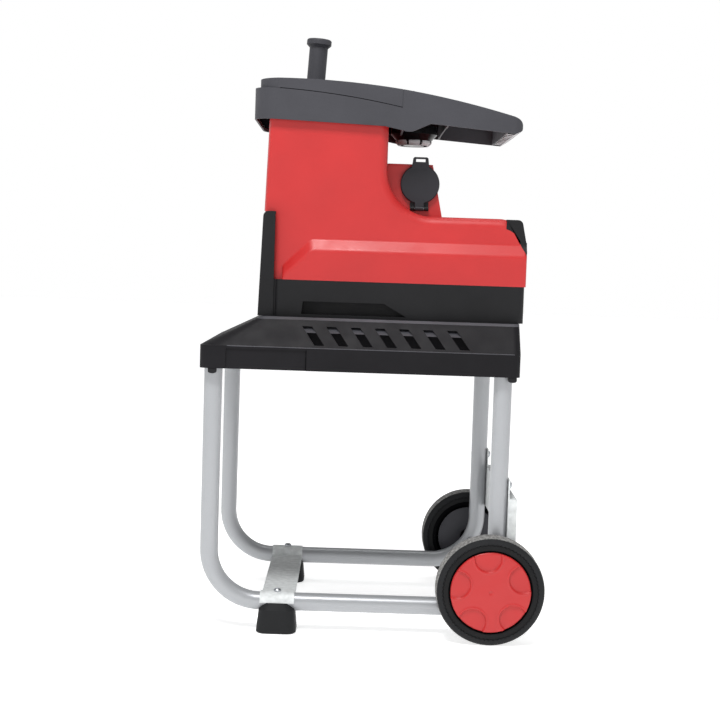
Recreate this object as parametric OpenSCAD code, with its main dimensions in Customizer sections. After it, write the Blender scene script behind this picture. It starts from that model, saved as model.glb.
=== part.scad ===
// Garden shredder on a wheeled tube stand.
// The front is at -X, the wheels and the handle are at +X, and the left side is at -Y.

/* [Stand] */
// Outside diameter of the stand tubes
tube_d = 28; // [25:0.5:30]
// Wall of the stand tubes
tube_wall = 1.5; // [1:0.1:2.5]
// Distance of the side frames inside the tray's edge, to the tube centre
frame_inset = 25; // [22:0.5:30]
// Distance between the front and the rear legs
leg_gap = 445; // [435:1:490]
// Height of the floor rails, to the tube centre
rail_z = 45; // [40:0.5:50]
// Bend radius of the tubes, to the tube centre
bend_r = 80; // [72:1:95]
// Width of a foot's sole
foot_d = 62; // [54:1:68]
// Distance of the feet behind the front legs
foot_setback = 108; // [100:1:140]
// Length of the front cross plate along the rails
cross_plate_l = 53; // [44:1:60]
// Thickness of the sheet steel
sheet_t = 2; // [1.5:0.1:3]
// Height of the rear cross plate
rear_plate_h = 71; // [50:1:80]
// Upper edge of the rear cross plate over the floor
rear_plate_top = 217; // [205:1:270]
// Depth of the rear cross plate's bent edges
rear_plate_d = 14; // [8:1:20]
// Diameter of the stand's bolts
bolt_d = 6; // [5:0.5:7]

/* [Wheels] */
// Wheel diameter
wheel_d = 165; // [150:1:180]
// Wheel width
wheel_w = 42; // [38:1:48]
// Diameter of the red wheel cap
cap_d = 122; // [112:1:126]
// Axle diameter
axle_d = 12; // [10:0.5:14]
// Gap between tube and tyre
wheel_gap = 6; // [4:0.5:10]
// Scallops in the wheel cap
cap_scallops = 5; // [3:1:6]
// Tread grooves on each shoulder of the tyre
tread_count = 36; // [18:1:48]

/* [Tray] */
// Lower edge of the tray over the floor
tray_z = 406; // [380:1:440]
// Width of the tray
tray_w = 400; // [392:1:420]
// Height of the tray
tray_h = 80; // [70:1:90]
// Height of the upright skirt of the tray
skirt_h = 35; // [30:1:40]
// Wall of the tray
tray_wall = 4; // [3.5:0.1:5]
// Overhang of the tray before the front legs
tray_nose = 20; // [19:0.5:30]
// Overhang of the tray behind the rear legs
tray_tail = 24; // [20:1:36]
// Run of the sloped sides
tray_side_run = 32; // [26:1:36]
// Run of the sloped front
tray_front_run = 91; // [70:1:95]
// Slots in each sloped side
slot_count = 7; // [3:1:7]
// Pitch of the slots
slot_pitch = 37; // [34:0.5:40]

/* [Base and body] */
// Width of the base housing
base_w = 280; // [272:1:300]
// Height of the base housing
base_h = 57; // [52:1:64]
// Depth of the red body's ledge, on each side
ledge_d = 12; // [10:0.5:14]
// Height of the motor bay over the base housing
bay_h = 105; // [100:1:115]
// Length of the motor bay behind the column
bay_l = 221.5; // [216:0.5:230]
// Length of the column
column_l = 190; // [186:1:198]
// Height of the column over the base housing
column_h = 254; // [230:1:280]
// Overhang of the body behind the rear legs
body_tail = 34; // [28:1:40]
// Wall of the housings
shell_t = 3; // [2.5:0.1:4]
// Draft of the column's front face in degrees
front_draft = 1.7; // [0:0.1:2.5]
// Radius of the fillet between column and motor bay
fillet_r = 72; // [60:1:76]
// Length of the front cover's side returns
cover_return = 19; // [14:1:24]

/* [Hopper] */
// Width of the hopper
hopper_w = 274; // [266:1:290]
// Width of the handle arm at its end
arm_w = 250; // [230:1:260]
// Overhang of the hopper before the column
hopper_nose = 20; // [12:1:28]
// Reach of the handle arm behind the column
arm_reach = 210; // [190:1:230]
// Height of the hopper's crest over the column
hopper_h = 56; // [50:1:62]
// Length of the feed opening
feed_l = 110; // [100:1:114]
// Width of the feed opening
feed_w = 152; // [130:1:160]
// Diameter of the pusher's handle
pusher_d = 30; // [24:1:34]
// Length of the pusher's handle over its plate
pusher_h = 98; // [80:1:110]
// Lean of the pusher's handle in degrees
pusher_lean = 3.3; // [0:0.1:5]
// Diameter of the selector pod under the arm
pod_d = 76; // [64:1:78]

/* [Switch box and inlet] */
// Width of the switch box
box_w = 160; // [140:2:180]
// Height of the switch box over the motor bay
box_h = 83; // [80:1:90]
// Length of the switch box at its foot
box_l = 90; // [88:0.5:100]
// Slant of its rear face in degrees
box_slant = 11.3; // [5:0.1:12]
// Diameter of the inlet flap
flap_d = 62; // [56:1:64]

/* [Drive] */
// Module of the gears
gear_module = 1.5; // [1.4:0.05:1.6]
// Teeth of the pinions
pinion_teeth = 12; // [12:1:13]
// Teeth of the wheels
wheel_teeth = 50; // [46:1:52]
// Diameter of the cutting drum over its teeth
drum_d = 96; // [88:1:100]
// Length of the cutting drum
drum_l = 84; // [72:1:86]
// Cutting teeth round the drum
drum_teeth = 8; // [6:1:10]
// Rows of teeth along the drum
drum_rows = 6; // [4:1:8]
// Diameter of the drum shaft
drum_shaft_d = 20; // [16:1:22]
// Diameter of the motor stator
stator_d = 112; // [100:1:114]
// Length of the motor stator
stator_l = 80; // [70:1:84]

/* [Hidden] */
$fn = 64;

// Radial clearance of a turning fit, gap of a sliding fit, and a small overlap for clean cuts
run_fit = 0.05;
slide_gap = 0.3;
cut = 1;

red = "#d7433f";
black_plastic = "#2c2d30";
grey_plastic = "#5e5e64";
tray_plastic = "#3e3d41";
silver = "#c4c6c8";
steel = "#9a9da1";
cast = "#b3b5b6";

tube_r = tube_d / 2;
half_track = tray_w / 2 - frame_inset;

// The axle crosses the centre line of the rear bend at the height of the wheel's centre
axle_r = axle_d / 2;
axle_z = wheel_d / 2;
axle_dx = sqrt(bend_r * bend_r - pow(axle_z - rail_z - bend_r, 2)) - bend_r;

// The origin lies under the middle of the overall length, from the tray's nose to the back of the wheels
rear_leg_x = (leg_gap + tray_nose - axle_dx - wheel_d / 2) / 2;
front_leg_x = rear_leg_x - leg_gap;
axle_x = rear_leg_x + axle_dx;
foot_x = front_leg_x + foot_setback;
rear_bolt_z = rear_plate_top + 21;

tray_front_x = front_leg_x - tray_nose;
tray_rear_x = rear_leg_x + tray_tail;
tray_top = tray_z + tray_h;
skirt_top = tray_z + skirt_h;
tray_corner_r = 12;
tray_front_r = 38;
rim_h = 4;
rim_w = 5;
socket_wall = 4;
leg_top = skirt_top - tray_wall;
slot_first_x = rear_leg_x - 311;
slot_w = 15;
slot_slant = 20;
slot_low = 4;
slot_high = 32;

base_top = tray_top + base_h;
bay_top = base_top + bay_h;
column_top = base_top + column_h;
body_rear_x = rear_leg_x + body_tail;
column_rear_x = body_rear_x - bay_l;
column_front_x = column_rear_x - column_l;
base_rear_x = body_rear_x - 2;
base_front_x = column_front_x + cover_return;
nose_x = column_front_x + shell_t;
half_base = base_w / 2;
half_body = half_base - ledge_d;
cover_half = half_base + 2;
cover_r = 8;

// Insets of the body's flat sides against its rounded outline
shoulder_x = 6;
shoulder_z = 15;
shoulder_y = 14;
corner_x = 42;
corner_z = 53;
vent_pitch = 20;

// The ledge of the red body
ledge_low = 47;
ledge_high = 64;
ledge_lead = 74;
ledge_run = 43;

feed_x = column_front_x + 69;
chute_t = 3;
drive_y = -14;
drive_z = base_top + 17;

wheel_inner_y = half_track + tube_r + wheel_gap;
tyre_t = (wheel_d - cap_d) / 2 - 3;
rim_r = wheel_d / 2 - tyre_t;
hub_r = 14;
hub_end = wheel_w - 9;
band_end = wheel_w - 5;
axle_end = wheel_inner_y + hub_end + 3.5;

function front_x(z) = column_front_x + (z - bay_top) * tan(front_draft);

function arc(cx, cy, rx, ry, from, to, steps) =
    [for (i = [0:steps]) let (a = from + (to - from) * i / steps) [cx + rx * cos(a), cy + ry * sin(a)]];

module along_x(x, y, z) { translate([x, y, z]) rotate([90, 0, 90]) children(); }

module along_y(x, y, z) { translate([x, y, z]) rotate([-90, 0, 0]) children(); }

module side_slab(y_from, y_to) {
    translate([0, y_to, 0]) rotate([90, 0, 0]) linear_extrude(y_to - y_from) children();
}

module on_both_sides() {
    children();
    mirror([0, 1, 0]) children();
}

function rounded_points(x0, x1, half_w, r, front_r) = concat(
    arc(x1 - r, half_w - r, r, r, 0, 90, 6),
    arc(x0 + front_r, half_w - front_r, front_r, front_r, 90, 180, 6),
    arc(x0 + front_r, -half_w + front_r, front_r, front_r, 180, 270, 6),
    arc(x1 - r, -half_w + r, r, r, 270, 360, 6));

module rounded_rect(x0, x1, half_w, r) { polygon(rounded_points(x0, x1, half_w, r, r)); }

// A skin through rings of equal point counts, closed by its first and last ring
module loft(rings) {
    n = len(rings[0]);
    last = len(rings) - 1;
    sides = [for (k = [0:last - 1], i = [0:n - 1]) let (j = (i + 1) % n)
        each [[k * n + i, k * n + j, (k + 1) * n + i], [k * n + j, (k + 1) * n + j, (k + 1) * n + i]]];
    first_cap = [for (i = [n - 1:-1:0]) i];
    last_cap = [for (i = [0:n - 1]) last * n + i];
    polyhedron([for (r = rings) each r], concat(sides, [first_cap, last_cap]), convexity = 6);
}

// Stand

module frame_path(d) {
    low = rail_z + bend_r;
    for (x = [front_leg_x, rear_leg_x]) translate([x, 0, low]) cylinder(d = d, h = leg_top - low);
    translate([front_leg_x + bend_r, 0, low]) rotate([90, 0, 0]) rotate([0, 0, 180])
        rotate_extrude(angle = 90) translate([bend_r, 0]) circle(d = d);
    translate([rear_leg_x - bend_r, 0, low]) rotate([90, 0, 0]) rotate([0, 0, 270])
        rotate_extrude(angle = 90) translate([bend_r, 0]) circle(d = d);
    along_x(front_leg_x + bend_r, 0, rail_z) cylinder(d = d, h = leg_gap - 2 * bend_r);
}

module frame_tube(side) {
    color(silver) translate([0, side * half_track, 0]) difference() {
        frame_path(tube_d);
        frame_path(tube_d - 2 * tube_wall);
        along_y(axle_x, -tube_d, axle_z) cylinder(r = axle_r + 0.15, h = 2 * tube_d);
        translate([foot_x, 0, rail_z - tube_d]) cylinder(d = bolt_d + 0.4, h = 2 * tube_d);
        along_x(rear_leg_x - tube_d, 0, rear_bolt_z) cylinder(d = bolt_d + 0.4, h = 2 * tube_d);
    }
}

module left_frame_tube() { frame_tube(-1); }

module right_frame_tube() { frame_tube(1); }

module front_cross_plate() {
    seat_r = tube_r + 0.1;
    outer_r = seat_r + sheet_t;
    color(silver) difference() {
        along_x(foot_x - cross_plate_l / 2, 0, rail_z) linear_extrude(cross_plate_l) {
            for (side = [-1, 1]) translate([side * half_track, 0]) intersection() {
                difference() {
                    circle(outer_r);
                    circle(seat_r);
                }
                translate([-outer_r, 0]) square([2 * outer_r, outer_r]);
            }
            translate([-half_track + seat_r, 0]) square([2 * (half_track - seat_r), sheet_t]);
        }
        for (side = [-1, 1]) translate([foot_x, side * half_track, rail_z])
            cylinder(d = bolt_d + 0.4, h = tube_d);
    }
}

// A shallow pan behind the rear legs, open to the rear, with a tab for each bolt
module rear_cross_plate() {
    x0 = rear_leg_x + tube_r + 0.1;
    half = half_track + tube_r - 1;
    low = rear_plate_top - rear_plate_h;
    tab_half = 11;
    color(steel) difference() {
        union() {
            difference() {
                translate([x0, -half, low]) cube([rear_plate_d, 2 * half, rear_plate_h]);
                translate([x0 + sheet_t, sheet_t - half, low + sheet_t])
                    cube([rear_plate_d, 2 * (half - sheet_t), rear_plate_h - 2 * sheet_t]);
            }
            for (side = [-1, 1]) translate([x0, side * half_track - tab_half, rear_plate_top - cut])
                cube([sheet_t, 2 * tab_half, rear_bolt_z - rear_plate_top + tab_half]);
        }
        for (side = [-1, 1]) along_x(x0 - 1, side * half_track, rear_bolt_z)
            cylinder(d = bolt_d + 0.4, h = tube_r);
    }
}

module foot(side) {
    half = foot_d / 2;
    corner_r = 14;
    top = rail_z - 0.3;
    levels = [[tube_r + 5, top], [half * 0.89, top * 0.8], [half, 2], [half - 2, 0]];
    color(black_plastic) translate([foot_x, side * half_track, 0]) difference() {
        loft([for (v = levels)
            [for (p = rounded_points(-v[0], v[0], v[0], corner_r, corner_r)) [p[0], p[1], v[1]]]]);
        along_x(-foot_d, 0, rail_z) cylinder(r = tube_r + slide_gap, h = 2 * foot_d);
        translate([0, 0, 12]) cylinder(d = bolt_d + 0.4, h = rail_z);
    }
}

module left_foot() { foot(-1); }

module right_foot() { foot(1); }

module domed_bolt(length) {
    translate([0, 0, -length]) cylinder(d = bolt_d, h = length);
    rotate_extrude() polygon([[0, 0], [bolt_d, 0], [bolt_d, 1.5], [bolt_d * 0.7, 3.6], [0, 4.2]]);
}

module frame_bolts() {
    color(steel) for (side = [-1, 1]) {
        translate([foot_x, side * half_track, rail_z + tube_r + sheet_t + 0.1]) domed_bolt(45);
        along_x(rear_leg_x + tube_r + sheet_t + 0.1, side * half_track, rear_bolt_z) domed_bolt(30);
    }
}

// Wheels, drawn along the axle with the inner face at zero

module at_wheel(side) {
    translate([axle_x, side * wheel_inner_y, axle_z]) rotate([side * -90, 0, 0]) children();
}

module wheel_axle() {
    color(steel) along_y(axle_x, -axle_end, axle_z) cylinder(r = axle_r, h = 2 * axle_end);
}

module axle_push_nuts() {
    color(steel) for (side = [-1, 1]) at_wheel(side) translate([0, 0, hub_end + 0.2]) difference() {
        cylinder(r = axle_r + 5, h = 2.5);
        translate([0, 0, -cut]) cylinder(r = axle_r + 0.02, h = 5);
    }
}

module wheel_rim(side) {
    band_in = rim_r - 6;
    boss_r = band_in * 0.6;
    boss_z = 8;
    web_z = wheel_w / 2 - 3;
    web_t = 6;
    rib_z = 6;
    rib_t = 2;
    hub_start = 0.5 - wheel_gap;
    color(black_plastic) at_wheel(side) {
        rotate_extrude() {
            translate([axle_r + run_fit, hub_start])
                square([hub_r - axle_r - run_fit, hub_end - hub_start]);
            translate([hub_r - cut, web_z]) square([band_in - hub_r + 2 * cut, web_t]);
            translate([hub_r - cut, boss_z]) square([boss_r - hub_r, web_z - boss_z + 1]);
            translate([band_in, 1]) square([rim_r - run_fit - band_in, band_end - 1]);
        }
        for (k = [0:9]) rotate(k * 36) translate([hub_r - cut, -rib_t / 2, rib_z])
            cube([band_in - hub_r + 2 * cut, rib_t, web_z - rib_z + 1]);
    }
}

module left_wheel_rim() { wheel_rim(-1); }

module right_wheel_rim() { wheel_rim(1); }

module tyre(side) {
    r = wheel_d / 2;
    edge = 6;
    groove = wheel_w * 0.3;
    color("#27282a") at_wheel(side) difference() {
        rotate_extrude() polygon(concat(
            [[rim_r, 0]], arc(r - edge, edge, edge, edge, 270, 360, 5),
            arc(r - edge, wheel_w - edge, edge, edge, 0, 90, 5), [[rim_r, wheel_w]]));
        for (k = [0:tread_count - 1], shoulder = [0, 1])
            rotate((k + shoulder / 2) * 360 / tread_count)
                translate([r - 1.2, -1.2, shoulder * (wheel_w - groove + cut) - (1 - shoulder) * cut])
                cube([edge, 2.4, groove]);
    }
}

module left_tyre() { tyre(-1); }

module right_tyre() { tyre(1); }

module wheel_cap(side) {
    r = cap_d / 2;
    face = wheel_w + 3;
    scallop_r = r * 0.345;
    color(red) at_wheel(side) rotate(side * 4) difference() {
        rotate_extrude() polygon([
            [0, band_end + 1], [0, face], [r * 0.5, face - 0.4], [r * 0.84, face - 1.5],
            [r * 0.95, face - 2.5], [r, face - 4.5], [r, band_end], [r - 7, band_end],
            [r - 7, band_end + 1]]);
        for (k = [0:cap_scallops - 1]) rotate(90 + k * 360 / cap_scallops)
            translate([r * 0.82, 0, face - 4.6]) cylinder(r = scallop_r, h = 8);
        translate([0, 0, face - 1.2]) cylinder(r = 3, h = 4);
    }
}

module left_wheel_cap() { wheel_cap(-1); }

module right_wheel_cap() { wheel_cap(1); }

// Tray

module tray_form(inset) {
    x0 = tray_front_x + inset;
    x1 = tray_rear_x - inset;
    half = tray_w / 2 - inset;
    thin = 0.02;
    below = inset > 0 ? cut : 0;
    r = tray_corner_r - inset;
    front_r = tray_front_r - inset;
    top = tray_top - inset;
    translate([0, 0, tray_z - below]) linear_extrude(skirt_h + below - inset / 2)
        rounded_rect(x0, x1, half, r);
    hull() {
        translate([0, 0, skirt_top - inset / 2 - thin]) linear_extrude(thin)
            polygon(rounded_points(x0, x1, half, r, front_r));
        translate([0, 0, top - rim_h]) linear_extrude(thin)
            polygon(rounded_points(x0 + tray_front_run - 2 * rim_h, x1, half - tray_side_run, r, r));
        translate([0, 0, top - thin]) linear_extrude(thin)
            rounded_rect(x0 + tray_front_run, x1, half - tray_side_run - rim_w, r);
    }
}

module tray_slot() {
    low = skirt_top + slot_low;
    high = skirt_top + slot_high;
    side_slab(-tray_w / 2 - cut, -tray_w / 2 + tray_side_run + tray_wall)
        polygon([[slot_slant, low], [slot_slant + slot_w, low], [slot_w, high], [0, high]]);
}

// Places of the tray screws, on the underside of the tray's top
module at_tray_screws() {
    for (x = [base_front_x + 150, base_rear_x - 24], side = [-1, 1])
        translate([x, side * (half_base - 36), tray_top - tray_wall]) children();
}

module tray_screw_holes() {
    at_tray_screws() translate([0, 0, -cut]) cylinder(d = bolt_d + 0.4, h = tray_wall + shell_t + 2 * cut);
}

// The way out under the drum, as wide as the cutting chamber inside
module discharge(z, h) {
    l = chamber_l - 2 * chamber_wall;
    w = chamber_y1 - chamber_y0 - 2 * chamber_side;
    translate([feed_x - l / 2, -w / 2, z]) cube([l, w, h]);
}

module base_tray() {
    socket_r = tube_r + socket_wall;
    rib_y = half_base - tray_wall;
    panel_x0 = front_leg_x + 20;
    panel_x1 = front_leg_x + 142;
    color(tray_plastic) difference() {
        union() {
            difference() {
                tray_form(0);
                tray_form(tray_wall);
            }
            intersection() {
                tray_form(0);
                union() {
                    for (x = [front_leg_x, rear_leg_x], side = [-1, 1])
                        translate([x, side * half_track, tray_z + 10]) cylinder(r = socket_r, h = tray_h);
                    for (x = [front_leg_x, rear_leg_x + 12], side = [-1, 1])
                        translate([x - 8, side * (tray_w / 2 - 5) - 5, tray_z]) cube([16, 10, 10]);
                    on_both_sides() translate([front_leg_x, rib_y, tray_z + 12])
                        cube([leg_gap, tray_wall, tray_h]);
                }
            }
        }
        for (x = [front_leg_x, rear_leg_x], side = [-1, 1])
            translate([x, side * half_track, tray_z - cut])
                cylinder(r = tube_r + 0.1, h = leg_top - tray_z + cut);
        discharge(tray_z, tray_h + cut);
        tray_screw_holes();
        on_both_sides() {
            for (k = [0:slot_count - 1]) translate([slot_first_x + k * slot_pitch, 0, 0]) tray_slot();
            side_slab(-tray_w / 2 - cut, -tray_w / 2 + tray_wall / 2)
                translate([panel_x0, tray_z - cut]) square([panel_x1 - panel_x0, skirt_h - 3]);
        }
    }
}

module bag_hooks() {
    hook_w = 13;
    hook_h = 8;
    color(black_plastic) for (x = [front_leg_x, rear_leg_x + 12], side = [-1, 1])
        translate([x, side * (tray_w / 2 - 5), tray_z]) side_slab(-4.2, 4.2)
            polygon(concat([[hook_w / 2, 0]], arc(0, 3 - hook_h, hook_w / 2, 3, 360, 180, 10),
                [[-hook_w / 2, 0]]));
}

module tray_screws() {
    color(steel) at_tray_screws() mirror([0, 0, 1]) domed_bolt(tray_wall + shell_t + 6);
}

// Base housing and front cover

module base_plan(inset) {
    rounded_rect(base_front_x + inset, base_rear_x - inset, half_base - inset, 10 - inset);
    translate([nose_x + 4 + inset, -half_base + 3 + inset])
        square([cover_return + 20, base_w - 6 - 2 * inset]);
}

module finger_recess(inset, depth) {
    foot_z = tray_top + 4;
    head_z = tray_top + 24;
    x0 = base_front_x + 44;
    side_slab(-half_base - (inset > 0 ? 0 : cut), -half_base + depth) polygon([
        [x0 - inset, foot_z - inset], [x0 + 163 + 2 * inset, foot_z - inset],
        [x0 + 128 + inset, head_z + inset], [x0 + 2 - inset, head_z + inset]]);
}

module base_housing() {
    rib_t = 4;
    color(black_plastic) difference() {
        union() {
            difference() {
                translate([0, 0, tray_top]) linear_extrude(base_h) base_plan(0);
                translate([0, 0, tray_top + shell_t]) linear_extrude(base_h) base_plan(shell_t);
            }
            on_both_sides() finger_recess(shell_t, 24);
            for (x = [stator_x + 12, stator_x + stator_l - 16]) translate([x, drive_y - 44, tray_top + 1])
                cube([rib_t, 88, base_h - 16]);
            translate([gear_x + 8, drive_y + 18, tray_top + 1]) cube([30, 30, gear_foot_z - tray_top - 1]);
        }
        on_both_sides() finger_recess(0, 24 - shell_t);
        along_x(stator_x - 20, drive_y, drive_z) cylinder(d = stator_d + 0.2, h = stator_l + 40);
        discharge(tray_top - cut, shell_t + 2 * cut);
        tray_screw_holes();
    }
}

module cover_outline(inset) {
    past = inset > 0 ? cut : 0;
    low = tray_top - past;
    rear = base_front_x + past;
    r = cover_r - inset;
    side_slab(inset - cover_half, cover_half - inset) polygon(concat(
        [[front_x(tray_top) + inset, low], [rear, low], [rear, bay_top - inset]],
        arc(front_x(bay_top) + inset + r, bay_top - inset - r, r, r, 90, 180, 5)));
}

module front_cover() {
    color(black_plastic) difference() {
        cover_outline(0);
        cover_outline(shell_t);
        translate([nose_x, -half_body - slide_gap, bay_top - cover_r - cut])
            cube([cover_return * 2, 2 * (half_body + slide_gap), 2 * cover_r]);
    }
}

// Red body: two half shells that meet at the middle plane

function body_outline(s, w) =
    let (dx = shoulder_x * s + w, dz = shoulder_z * s + w, over = w > 0 ? cut : 0,
        low = base_top - over, top = column_top + over, tuck = shell_t + 1, step = bay_top + slide_gap + w)
    concat(
        [[front_x(low) + tuck + dx, low], [body_rear_x - dx, low]],
        arc(body_rear_x - corner_x, bay_top - corner_z, corner_x - dx, corner_z - dz, 0, 90, 6),
        arc(column_rear_x + fillet_r, bay_top + fillet_r, fillet_r + dx, fillet_r + dz, 270, 180, 10),
        [[column_rear_x - dx, top], [front_x(top) + dx, top], [front_x(bay_top) + dx, step],
            [front_x(bay_top) + tuck + dx, step]]);

function body_ring(s, w, y) = [for (p = body_outline(s, w)) [p[0], y, p[1]]];

module body_form(w, y_end) {
    steps = 4;
    y_flat = w - half_body;
    loft(concat(
        [for (i = [0:steps]) let (a = 90 * i / steps)
            body_ring(1 - sin(a), w, y_flat + shoulder_y * (1 - cos(a)))],
        [body_ring(0, w, y_end)]));
}

module ledge_form(w) {
    x0 = base_front_x + 12 + w;
    x1 = body_rear_x - w;
    low = base_top - (w > 0 ? cut : 0);
    thin = 0.02;
    lead = base_front_x + ledge_lead - 19;
    hull() {
        side_slab(-half_body + (w > 0 ? 8 : 0.5), -half_body + (w > 0 ? 8 : 0.5) + thin) polygon([
            [x0, low], [x1, low], [x1, base_top + ledge_high - w], [lead, base_top + ledge_high - w],
            [x0, base_top + ledge_high - ledge_run - w]]);
        side_slab(w - half_base, w - half_base + thin) polygon([
            [x0, low], [x1, low], [x1, base_top + ledge_low - w], [lead + 3, base_top + ledge_low - w],
            [x0, base_top + 4]]);
    }
}

module body_half() {
    difference() {
        union() {
            body_form(0, 0);
            ledge_form(0);
        }
        body_form(shell_t, cut);
        ledge_form(shell_t);
        translate([body_rear_x - 30, -5.5 * vent_pitch, bay_top - 36])
            cube([40, 5.5 * vent_pitch + cut, 24]);
    }
}

module left_body_shell() { color(red) body_half(); }

module right_body_shell() {
    color(red) difference() {
        mirror([0, 1, 0]) body_half();
        along_y(feed_x, 0, adjust_z) cylinder(d = 14, h = half_base + cut);
    }
}

// Section of the vent cap: along the body's rounded rear corner, then back over its own outside
function vent_section(s, gap) = concat(
    arc(body_rear_x - corner_x, bay_top - corner_z,
        corner_x - shoulder_x * s + gap, corner_z - shoulder_z * s + gap, 76, 8, 8),
    [[body_rear_x + 1.5, bay_top - corner_z + 4]],
    arc(body_rear_x - 15, bay_top - 9, 8, 8, 12, 90, 4),
    [[body_rear_x - corner_x + 9, bay_top - 1]]);

function vent_ring(s, y) = [for (p = vent_section(s, 0.2)) [p[0], y, p[1]]];

module rear_vent_cap() {
    steps = 4;
    vent_z = bay_top - 34;
    turns = [for (i = [0:steps]) 90 * i / steps];
    function depth(a) = half_body - shoulder_y * (1 - cos(a));
    color(black_plastic) difference() {
        loft(concat(
            [for (a = turns) vent_ring(1 - sin(a), -depth(a))],
            [for (i = [steps:-1:0]) vent_ring(1 - sin(turns[i]), depth(turns[i]))]));
        translate([body_rear_x - corner_x, -half_base, base_top])
            cube([corner_x + 10, base_w, ledge_high + slide_gap]);
        for (k = [-5:5]) translate([body_rear_x - 40, k * vent_pitch - 6, vent_z]) cube([60, 12, 22]);
    }
}

// Switch box behind the column

box_x0 = column_rear_x + 0.2;
box_top = bay_top + box_h;
box_rear_foot = column_rear_x + box_l;
box_rear_head = box_rear_foot - box_h * tan(box_slant);
lid_t = 3;
half_box = box_w / 2;
panel_z = bay_top + box_h / 2;
panel_x = (box_rear_foot + box_rear_head) / 2;
plate_t = 3;
panel_l = 60;
panel_r = 6;
panel_in = plate_t + 0.5;
button_y = [-25, 6, 34];
block_y0 = -42;
block_w = 90;
panel_w = block_w + 4;
panel_y = block_y0 + block_w / 2;
button_d = [22, 24, 13];

// The sunk panel's own frame: z points out of the slanted rear face, x runs down it and y across it
module on_panel() {
    translate([panel_x, 0, panel_z]) rotate([0, 90 - box_slant, 0]) translate([0, 0, -panel_in]) children();
}

module panel_shape(margin) {
    translate([0, panel_y])
        rounded_rect(-panel_l / 2 - margin, panel_l / 2 + margin, panel_w / 2 + margin, panel_r + margin);
}

module switch_box() {
    r = fillet_r - 0.2;
    color(red) difference() {
        side_slab(-half_box, half_box) polygon(concat(
            arc(column_rear_x + fillet_r, bay_top + fillet_r, r, r, 180, 270, 10),
            [[box_rear_foot, bay_top + 0.2], [box_rear_head, box_top - lid_t], [box_x0, box_top - lid_t]]));
        translate([column_rear_x + 24, shell_t - half_box, bay_top + 46])
            cube([box_l * 0.56, box_w - 2 * shell_t, box_h]);
        on_panel() translate([-24, block_y0 - 0.2, -34]) cube([48, block_w + 0.4, 60]);
        on_panel() linear_extrude(2 * panel_in) panel_shape(0.2);
        along_y(inlet_x, -half_box - cut, inlet_z) cylinder(d = socket_d + 0.4, h = socket_depth + cut);
    }
}

module switch_box_lid() {
    color(red) translate([box_x0, 0, box_top - lid_t]) linear_extrude(lid_t)
        rounded_rect(0, box_rear_head - box_x0, half_box, 5);
}

module switch_plate() {
    color(black_plastic) on_panel() difference() {
        linear_extrude(plate_t) panel_shape(0);
        for (k = [0:2]) translate([0, button_y[k], -cut]) cylinder(d = button_d[k] + 0.6, h = plate_t + 2);
    }
}

module switch_block() {
    color("#1f1f21") on_panel() difference() {
        translate([-23.8, block_y0, -33]) cube([47.6, block_w, 33]);
        for (k = [0:2]) translate([0, button_y[k], -14]) cylinder(d = button_d[k] + 7, h = 20);
    }
}

module button(k, paint) {
    r = button_d[k] / 2;
    collar_r = r + 2.5;
    head = plate_t - 0.5;
    color(paint) on_panel() translate([0, button_y[k], 0]) rotate_extrude() polygon([
        [0, -9], [4, -9], [4, -4], [collar_r, -4], [collar_r, -0.5], [r, -0.5],
        [r, head], [r - 1.5, head + 1.5], [0, head + 1.5]]);
}

module start_button() { button(0, "#2f9a4a"); }

module stop_button() { button(1, "#c2281f"); }

module reset_button() { button(2, "#1f1f21"); }

// Mains inlet on the left wall of the switch box

inlet_x = column_rear_x + 53;
inlet_z = bay_top + 51.5;
socket_d = 48;
socket_depth = 34;
recess_d = 42;
rim_y = -half_box - 4;
flap_t = 4.5;
flap_y = rim_y - 0.5;
hinge_z = inlet_z - flap_d / 2 - 7.5;
hinge_y = flap_y - 2.2;
hinge_r = 3.5;
hinge_pin_r = 1.5;
knuckle_w = 14;
hinge_w = 29;
lug_w = (hinge_w - knuckle_w - 1) / 2;

module inlet_socket() {
    color(black_plastic) difference() {
        union() {
            along_y(inlet_x, rim_y, inlet_z) cylinder(d = flap_d - 3, h = -half_box - rim_y);
            along_y(inlet_x, -half_box, inlet_z) cylinder(d = socket_d, h = socket_depth - 0.2);
            for (side = [-1, 1]) translate([inlet_x + (side * (hinge_w - lug_w) - lug_w) / 2, 0, hinge_z]) {
                translate([0, rim_y, -hinge_r]) cube([lug_w, -half_box - rim_y, flap_d / 2 - 6]);
                translate([0, hinge_y, -hinge_r]) cube([lug_w, -half_box - hinge_y, 2 * hinge_r]);
                along_x(0, hinge_y, 0) cylinder(r = hinge_r, h = lug_w);
            }
        }
        along_y(inlet_x, rim_y - cut, inlet_z) cylinder(d = recess_d, h = socket_depth);
        along_x(inlet_x - hinge_w, hinge_y, hinge_z) cylinder(r = hinge_pin_r + 0.01, h = 2 * hinge_w);
    }
}

module inlet_pins() {
    floor_y = rim_y - cut + socket_depth;
    color(steel) for (a = [90, 210, 330])
        translate([inlet_x + 9 * cos(a), floor_y - 18, inlet_z + 9 * sin(a)]) rotate([-90, 0, 0])
            translate([-3, -1, 0]) cube([6, 2, 18]);
}

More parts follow.
